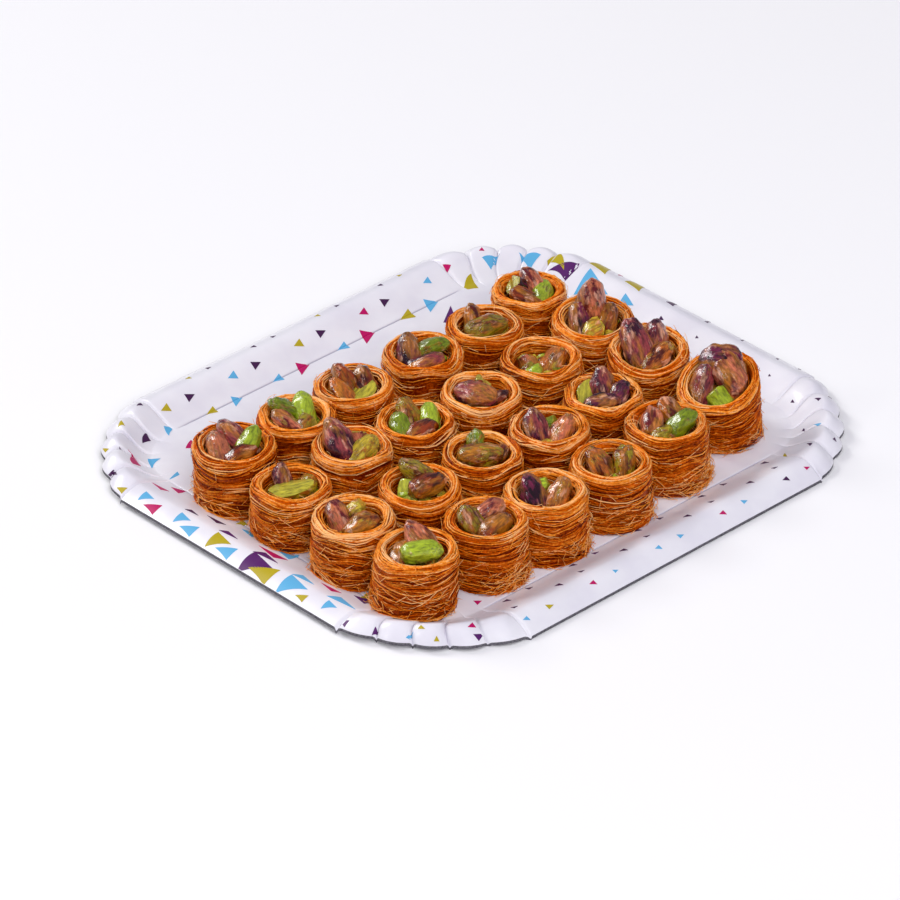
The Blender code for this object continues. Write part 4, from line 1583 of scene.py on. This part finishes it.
FILLINGS = {
    "high_front": (
        Kernel(300, 4.0, 0.6, 8, 4, 1.02),
        Kernel(78, 5.5, 1.6, 142, 34, 1.04),
        Kernel(186, 6.4, -3.4, 70, 34, 0.84),
    ),
    "ring_of_three": (
        Kernel(178, 6.2, -2.2, 120, 48, 0.98),
        Kernel(62, 6.0, -1.4, 20, 24, 0.90),
        Kernel(306, 5.6, -3.2, 28, 22, 0.98),
    ),
    "ring_of_four": (
        Kernel(100, 6.6, -0.4, 150, 38, 0.92),
        Kernel(20, 6.2, -1.2, 60, 34, 0.94),
        Kernel(295, 6.0, -3.0, 20, 16, 0.90),
        Kernel(195, 6.4, -2.2, 110, 30, 0.96),
    ),
    "across": (
        Kernel(280, 3.0, -0.8, 14, 6, 1.12),
        Kernel(128, 7.0, -0.6, 100, 58, 0.74),
        Kernel(20, 6.8, -3.6, 80, 20, 0.80),
    ),
    "vee": (
        Kernel(186, 5.4, -2.0, 118, 50, 1.02),
        Kernel(348, 5.6, -2.6, 62, 44, 0.98),
        Kernel(90, 6.4, -4.6, 10, 12, 0.80),
    ),
    "big_pair": (
        Kernel(20, 4.6, 0.6, 128, 26, 1.24),
        Kernel(82, 7.4, 2.4, 168, 10, 1.10),
        Kernel(182, 6.2, -1.4, 66, 42, 1.00),
        Kernel(262, 5.8, -2.4, 140, 26, 0.90),
    ),
    "spike": (
        Kernel(96, 5.2, 2.9, 100, 76, 1.26),
        Kernel(190, 6.3, -1.7, 98, 44, 1.0),
        Kernel(292, 5.3, -2.7, 34, 9, 0.88),
        Kernel(2.7, 6.2, -1.9, 76.5, 36, 0.86),
    ),
    "standing": (
        Kernel(112, 5.2, -1.4, 118, 62, 1.02),
        Kernel(192, 6.4, -3.0, 100, 36, 0.92),
        Kernel(286, 5.8, -3.2, 24, 14, 0.92),
        Kernel(14, 6.4, -2.4, 76, 34, 0.92),
    ),
    "leaning_out": (
        Kernel(176, 5.4, 1.4, 128, 50, 1.26),
        Kernel(66, 6.2, -0.6, 100, 46, 1.04),
        Kernel(318, 5.2, -2.4, 40, 30, 1.04),
    ),
    "low": (
        Kernel(8, 5.2, -4.4, 58, 24, 1.0),
        Kernel(156, 6.4, -5.4, 120, 22, 0.84),
        Kernel(262, 6.2, -5.6, 10, 14, 0.78),
    ),
}

# The skins' and cuts' short names in the table below; K is broken.
G, L, Y, O, T, R, M, B, P = Skin
W, H, K = Cut
ROLL_FILLINGS = {
    (0, 0): ("high_front", 0, ((G, W), (R, W), (B, W))),
    (0, 1): ("ring_of_three", 0, ((R, W), (Y, K), (T, W))),
    (0, 2): ("across", 0, ((O, H), (M, W), (O, W))),
    (0, 3): ("ring_of_four", 0, ((M, W), (G, W), (B, W), (R, W))),
    (1, 0): ("ring_of_three", 12, ((O, W), (R, W), (B, W))),
    (1, 1): ("high_front", 28, ((B, W), (O, W), (G, H))),
    (1, 2): ("leaning_out", 8, ((M, W), (R, K), (Y, W))),
    (1, 3): ("ring_of_four", 40, ((L, W), (G, W), (O, K), (R, W))),
    (2, 0): ("vee", 0, ((P, W), (T, W), (G, K))),
    (2, 1): ("across", -16, ((O, W), (L, W), (B, W))),
    (2, 2): ("standing", 14, ((O, W), (L, W), (B, W), (G, W))),
    (2, 3): ("standing", 30, ((B, W), (T, W), (O, H), (B, W))),
    (3, 0): ("vee", 18, ((T, W), (O, W), (L, K))),
    (3, 1): ("vee", -8, ((M, W), (R, W), (L, K))),
    (3, 2): ("across", -44, ((M, W), (B, K), (B, W))),
    (3, 3): ("ring_of_three", -20, ((P, W), (L, W), (M, W))),
    (4, 0): ("ring_of_four", -24, ((T, W), (L, W), (O, K), (R, W))),
    (4, 1): ("standing", -18, ((M, W), (O, H), (P, W), (P, W))),
    (4, 2): ("low", 0, ((T, W), (R, K), (G, K))),
    (4, 3): ("across", 10, ((O, W), (T, W), (Y, K))),
    (5, 0): ("big_pair", 0, ((R, W), (P, W), (M, W), (G, K))),
    (5, 1): ("leaning_out", -6, ((M, W), (M, W), (T, W))),
    (5, 2): ("spike", 0, ((R, W), (P, W), (Y, K), (B, W))),
    (5, 3): ("ring_of_four", 62, ((P, K), (R, W), (G, W), (B, W))),
}


@dataclass
class PistachioFilling:
    """The kernels in one roll, on a bed of broken bits."""

    place: RollPlace
    length: float = 17.2 * MM
    width: float = 10.8 * MM
    depth: float = 9.3 * MM
    fullness: float = 0.58
    point: float = 0.42
    blunt_end: float = 0.10
    kernel_grid: tuple[int, int] = (26, 22)
    bit_grid: tuple[int, int] = (8, 9)
    bits: int = 14
    bit_turn: float = 2.399963
    lump: float = 3.4 * MM
    lump_depth: float = 1.1 * MM
    bed_drop: float = 5.8 * MM
    bed_inset: float = 3.6 * MM
    cup_taper: float = 0.975
    wall_clear: float = 0.5 * MM
    lip_clear: float = 0.6 * MM
    top_clear: float = 0.05 * MM
    fresh: str = "#C4BE3C"
    fresh_share: float = 0.6
    least_cover: float = 0.30
    cover_gain: float = 0.46
    cover_on_cut: float = 0.12
    seed: int = 5000

    def __post_init__(self) -> None:
        """Starts the filling's own row of random draws."""
        self.draw = np.random.default_rng(self.seed + self.place.column * 10 + self.place.row)

    def centre(self, bearing: float, out: float, z: float) -> Vector:
        """The point at a height that lies out from the roll's middle along a bearing."""
        middle = self.place.axis(np.array(z))
        return Vector((middle[0] + out * math.cos(bearing), middle[1] + out * math.sin(bearing), z))

    def kept_in(self, points: np.ndarray) -> np.ndarray:
        """Points moved in from the cup's wall, and over its lip only above it.

        Args:
            points: Points of a kernel.

        Returns:
            The points with the mouth's slant on them, none of them higher than the solids.
        """
        place = self.place
        over_lip = np.maximum(0.0, points[:, 2] - place.rim - self.lip_clear)
        reach = place.inner * self.cup_taper - self.wall_clear + over_lip
        middle = place.axis(points[:, 2])
        flat = points[:, :2] - middle
        far = np.linalg.norm(flat, axis=1)
        flat = flat * np.minimum(1.0, reach / np.maximum(far, 1e-9))[:, None]
        flat = middle + flat
        high = np.minimum(place.tipped(flat, points[:, 2]), CAD_BOX[1][2] - self.top_clear)
        return np.concatenate([flat, high[:, None]], 1)

    def shape(
        self, length: float, width: float, depth: float, cut: Cut, grid: tuple[int, int]
    ) -> tuple[np.ndarray, list, np.ndarray]:
        """One kernel in its own frame, long along X.

        Args:
            length: Its length.
            width: Its width.
            depth: Its depth.
            cut: Whether it is whole, halved or broken.
            grid: How many rings of points it has, and how many points on each.

        Returns:
            Points, faces, and how far each point lies on a cut face, from 0 to 1.
        """
        draw = self.draw
        rings, sides = grid
        latitude = math.pi * (np.arange(rings) + 1) / (rings + 1)
        angle = WHOLE_TURN * np.arange(sides) / sides
        lat, ang = np.meshgrid(latitude, angle, indexing="ij")
        along = -np.cos(lat)
        pointed = self.fullness + self.point * smoothstep(-0.2, 1.0, along)
        girth = np.sin(lat) ** pointed * (1.0 - self.blunt_end * along)
        ridges = 0.0
        for height, round_it, down_it in ((0.05, draw.integers(4, 8), 1.5), (0.06, 3, 3.0), (0.05, 2, 5.0)):
            phase = draw.uniform(0, LAST_PHASE)
            ridges = ridges + height * np.sin(ang * round_it + along * down_it + phase)
        seam = 0.10 * np.exp(-(np.sin(ang) / 0.16) ** 2)
        bend = draw.uniform(-0.14, 0.26) * (1.0 - along * along)
        swell = girth * (1.0 + ridges - seam)
        y = 0.5 * width * swell * np.cos(ang)
        z = 0.5 * depth * (swell * np.sin(ang) + bend)
        x = 0.5 * length * along + 0.02 * length * np.sin(ang * 2 + 1.0) * girth
        points = np.stack([x, y, z], -1).reshape(-1, 3)
        tips = np.array([[-0.5 * length, 0.0, 0.0], [0.5 * length, 0.0, 0.0]])
        points = np.concatenate([points, tips])
        seed = Vector(draw.uniform(0.0, 90.0, 3))
        lumps = []
        for point in points:
            coarse = noise.noise(Vector(point) / self.lump + seed)
            lumps.append(coarse + 0.4 * noise.noise(Vector(point) / (0.42 * self.lump) + seed))
        points = points * (1.0 + self.lump_depth / depth * np.minimum(lumps, 0.4))[:, None]
        on_cut = np.zeros(len(points))
        if cut is Cut.HALF:
            flat = 0.08 * depth + 0.05 * depth * np.cos(points[:, 1] / width * 6.0)
            on_cut = (points[:, 2] > flat).astype(float)
            points[:, 2] = np.minimum(points[:, 2], flat)
        elif cut is Cut.BROKEN:
            rough = 0.6 * MM * np.sin(points[:, 2] * 900 + points[:, 1] * 700)
            limit = 0.10 * length + 0.35 * points[:, 1] + rough
            on_cut = (points[:, 0] > limit).astype(float)
            points[:, 0] = np.minimum(points[:, 0], limit)
        return points, capped_rings(rings, sides), on_cut

    def put(self, parts: MeshParts, shape: tuple, placed: Matrix, skin: Skin) -> None:
        """Adds one kernel to the filling.

        Args:
            parts: Gets the kernel.
            shape: Its points, faces and cut share.
            placed: Its place in the row frame.
            skin: Its colours and cover.
        """
        points, faces, on_cut = shape
        turned = self.kept_in(points @ np.array(placed.to_3x3()).T + np.array(placed.translation))
        flesh_hex, skin_hex, blotch_hex, cover = skin.value
        fresh = np.array(linear(self.fresh)[:3])
        flesh = np.array(linear(flesh_hex)[:3]) * self.draw.uniform(0.85, 1.15)
        tint = np.array(linear(skin_hex)[:3]) * self.draw.uniform(0.8, 1.2)
        blotch = np.array(linear(blotch_hex)[:3])
        flesh = flesh + (fresh - flesh) * self.fresh_share * on_cut[:, None]
        local = points + self.draw.uniform(-1.0, 1.0, 3)
        cover = self.least_cover + self.cover_gain * cover + self.draw.normal(0.0, 0.03)
        parts.add(
            turned,
            faces,
            flesh=flesh,
            skin=np.tile(tint, (len(points), 1)),
            blotch=np.tile(blotch, (len(points), 1)),
            cover=cover * (1.0 - on_cut) + self.cover_on_cut * on_cut,
            kernel_place=local,
        )

    def build(self, material: bpy.types.Material) -> bpy.types.Object:
        """Makes the filling.

        Args:
            material: The pistachio.

        Returns:
            The filling's piece.
        """
        place = self.place
        style, turn, looks = ROLL_FILLINGS[place.column, place.row]
        parts = MeshParts()
        for kernel, (skin, cut) in zip(FILLINGS[style], looks):
            bearing = math.radians(kernel.bearing + turn) + PICTURE_TURN
            heading = math.radians(kernel.heading + turn) + PICTURE_TURN
            centre = self.centre(bearing, kernel.out * MM, place.rim + kernel.lift * MM)
            placed = Matrix.Translation(centre) @ Matrix.Rotation(heading, 4, "Z")
            placed = placed @ Matrix.Rotation(-math.radians(kernel.pitch), 4, "Y")
            placed = placed @ Matrix.Rotation(self.draw.uniform(-0.5, 0.5), 4, "X")
            sizes = (self.length * kernel.size, self.width * kernel.size, self.depth * kernel.size)
            self.put(parts, self.shape(*sizes, cut, self.kernel_grid), placed, skin)
        self.build_bed(parts)
        return parts.build(f"kernels_{place.label}", [material])

    def build_bed(self, parts: MeshParts) -> None:
        """Broken bits of kernel under the whole ones, on the cup's floor.

        Args:
            parts: Gets the bits.
        """
        draw = self.draw
        place = self.place
        spread = place.inner - self.bed_inset
        for index in range(self.bits):
            reach = spread * math.sqrt((index + 0.5) / self.bits)
            angle = index * self.bit_turn + draw.uniform(-0.3, 0.3)
            centre = self.centre(angle, reach, place.rim - self.bed_drop + draw.uniform(-1.2, 0.9) * MM)
            turned = Matrix.Rotation(draw.uniform(0, LAST_PHASE), 4, "Z")
            turned = turned @ Matrix.Rotation(draw.uniform(-0.6, 0.6), 4, "Y")
            size = draw.uniform(0.32, 0.56)
            sizes = (self.length * size, self.width * size * 1.1, self.depth * size)
            shape = self.shape(*sizes, Cut.BROKEN, self.bit_grid)
            skin = (G, L, Y, Y, O, T, R, B)[draw.integers(0, 8)]
            self.put(parts, shape, Matrix.Translation(centre) @ turned, skin)


@dataclass
class LooseStrands:
    """Broken strands of dough that have fallen on the tray beside the rolls.

    A spot holds X and Y and the strand's length in millimetres, then its heading and its tone.
    """

    tray: TrayForm
    strand: float = 0.36 * MM
    points: int = 9
    seed: int = 77
    spots: tuple[tuple[float, float, float, float, float], ...] = (
        (-48.0, -87.4, 8.0, 2.43, 0.30),
        (-51.5, -81.5, 3.5, 2.9, 0.12),
        (-88.0, 60.0, 6.0, 0.4, 0.66),
        (-26.0, 60.0, 5.0, 1.2, 0.66),
        (20.0, 62.0, 7.0, 2.4, 0.66),
    )

    def build(self, material: bpy.types.Material) -> bpy.types.Object:
        """Makes the fallen strands.

        Args:
            material: The dough.

        Returns:
            One piece with all of them.
        """
        draw = np.random.default_rng(self.seed)
        parts = MeshParts()
        t = np.linspace(-0.5, 0.5, self.points)
        for x, y, length, heading, tone in self.spots:
            bend = draw.uniform(-0.25, 0.25)
            along = t * length * MM
            aside = bend * length * MM * (4.0 * t * t)
            px = x * MM + along * math.cos(heading) - aside * math.sin(heading)
            py = y * MM + along * math.sin(heading) + aside * math.cos(heading)
            pz = self.tray.top(px, py) + self.strand
            lines = np.stack([px, py, pz], -1)[None]
            up = np.zeros_like(lines)
            up[..., 2] = 1.0
            width = np.full((1, self.points), self.strand) * (1.0 - 1.2 * t * t)
            shell, quads = tubes(lines, up, width, width)
            parts.add(shell, quads, tone=np.full(len(shell), tone))
        return parts.build("fallen_strands", [material])


@dataclass
class Studio:
    """Pale floor, soft light and the camera, placed as the picture was taken."""

    turn: float = math.radians(43.87)
    elevation: float = math.radians(32.15)
    distance: float = 2.5859
    focal_px: float = 6127.3
    centre_px: tuple[float, float] = (472.7, 421.8)
    aim: tuple[float, float, float] = (-0.3 * MM, 0.6 * MM, 11.2 * MM)
    sensor_mm: float = 36.0
    sky: str = "#E0DEF6"
    sky_strength: float = 0.2
    floor_reach: float = 4.0
    table: str = "#F8F8F8"
    table_grain_mm: float = 10 / 9

    def directions(self) -> tuple[np.ndarray, np.ndarray, np.ndarray]:
        """Where the picture's own directions lie in the row frame.

        Returns:
            Its right, up and forward directions.
        """
        ct, st = math.cos(self.turn), math.sin(self.turn)
        ce, se = math.cos(self.elevation), math.sin(self.elevation)
        return np.array([ct, -st, 0.0]), np.array([st * se, ct * se, ce]), np.array([st * ce, ct * ce, -se])

    def build_camera(self) -> None:
        """Aims the camera so that the tray lies where the picture has it."""
        right, up, forward = self.directions()
        eye = np.array(self.aim) - forward * self.distance
        half = PICTURE_SIDE_PX / 2
        look = forward - right * (self.centre_px[0] - half) / self.focal_px
        look = look + up * (self.centre_px[1] - half) / self.focal_px
        data = bpy.data.cameras.new("camera")
        data.sensor_width = self.sensor_mm
        data.lens = self.focal_px / PICTURE_SIDE_PX * self.sensor_mm
        data.clip_end = 20.0
        camera = bpy.data.objects.new("camera", data)
        camera.location = eye
        camera.rotation_mode = "QUATERNION"
        camera.rotation_quaternion = Vector(look).to_track_quat("-Z", "Y")
        bpy.context.scene.collection.objects.link(camera)
        bpy.context.scene.camera = camera

    def add_light(
        self,
        name: str,
        place: tuple[float, float, float],
        size: float,
        power: float,
        colour: str,
        mirrored: bool = True,
    ) -> None:
        """Adds a soft light.

        Args:
            name: Its name.
            place: Metres to the picture's right, away from the viewer, and up.
            size: The side of its square.
            power: Its power in watts.
            colour: Its hex colour.
            mirrored: Whether shiny things show it; a fill behind a polariser leaves them their own colour.
        """
        right, _, forward = self.directions()
        away = unit(np.array([forward[0], forward[1], 0.0]))
        at = right * place[0] + away * place[1] + np.array([0.0, 0.0, place[2]])
        data = bpy.data.lights.new(name, "AREA")
        data.shape = "SQUARE"
        data.size = size
        data.energy = power
        data.color = linear(colour)[:3]
        lamp = bpy.data.objects.new(name, data)
        lamp.location = at
        lamp.rotation_mode = "QUATERNION"
        lamp.rotation_quaternion = Vector(-at).to_track_quat("-Z", "Y")
        lamp.visible_glossy = mirrored
        bpy.context.scene.collection.objects.link(lamp)

    def build(self) -> None:
        """Makes the floor, the lights, the sky and the camera."""
        self.build_camera()
        scene = bpy.context.scene
        scene.view_settings.view_transform = "Standard"
        world = bpy.data.worlds.new("studio")
        scene.world = world
        world.use_nodes = True
        back = world.node_tree.nodes["Background"]
        back.inputs["Color"].default_value = linear(self.sky)
        back.inputs["Strength"].default_value = self.sky_strength
        self.add_light("key", (-2.2, 1.35, 1.8), 1.1, 40.0, "#FFFEFC")
        self.add_light("overhead", (0.4, -0.6, 2.8), 2.0, 29.0, "#FCFBFF", mirrored=False)
        self.add_light("front", (0.6, -2.35, 1.9), 1.8, 51.0, "#FCFAFF", mirrored=False)
        self.add_light("window", (-1.9, 0.8, 1.9), 0.36, 7.5, "#FFFEFC")
        self.add_light("strip", (-2.1, -1.0, 1.45), 0.35, 5.6, "#FFFEFC")
        mesh = bpy.data.meshes.new("floor")
        far = self.floor_reach
        corners = [(x * far, y * far, 0.0) for x, y in ((-1, -1), (1, -1), (1, 1), (-1, 1))]
        mesh.from_pydata(corners, [], [(0, 1, 2, 3)])
        finish = {"Base Color": linear(self.table), "Roughness": 0.8}
        material, shader = new_material("matt_white_table", finish)
        tree = material.node_tree
        place = add_node(tree, "ShaderNodeNewGeometry").outputs["Position"]
        grain_and_wrinkle_shade = add_node(
            tree,
            "ShaderNodeTexNoise",
            {"Scale": 1 / (self.table_grain_mm * MM)},
            {"Vector": place},
        )
        bump = add_node(
            tree,
            "ShaderNodeBump",
            {"Strength": 0.02, "Distance": 0.1 * MM},
            {"Height": grain_and_wrinkle_shade.outputs["Fac"]},
        )
        tree.links.new(bump.outputs["Normal"], shader.inputs["Normal"])
        mesh.materials.append(material)
        floor = bpy.data.objects.new("floor", mesh)
        scene.collection.objects.link(floor)
        floor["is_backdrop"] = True


def dress(piece: bpy.types.Object, slot: str, *nodes: str) -> None:
    """Puts a piece on the object's body, and lets it stand for solids.

    Args:
        piece: The piece.
        slot: The record's material slot; not used.
        nodes: The solids that it stands for, if any.
    """
    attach(piece, "root")
    if nodes:
        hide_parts(*nodes)
    solids = ", ".join(nodes) or "no solid"
    LOG.info("%s: %d faces, stands for %s", piece.name, len(piece.data.polygons), solids)


def main() -> None:
    """Builds the studio, the tray and the rolls in order."""
    logging.basicConfig(level=logging.INFO, format="%(name)s %(message)s")
    Studio().build()
    form = TrayForm()
    tray = Tray(form)
    dress(tray.build_card(), "coated_card", "tray")
    for layer in tray.build_print():
        dress(layer, "coated_card")
    dough = BakedDough().material()
    pistachio = PistachioSkin().material()
    for place in ROLLS:
        near = [other for other in ROLLS if 0.0 < np.linalg.norm(other.top - place.top) < NEIGHBOUR_REACH]
        dress(KunafaRoll(place, form, near).build(dough), "dough_strands", f"kunafa_{place.label}")
        dress(PistachioFilling(place).build(pistachio), "pistachio", f"pistachios_{place.label}")
    dress(LooseStrands(form).build(dough), "dough_strands")
    faces = sum(len(polygon.vertices) - 2 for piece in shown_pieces() for polygon in piece.data.polygons)
    LOG.info("%d triangles in all", faces)


if __name__ == "__main__":
    main()
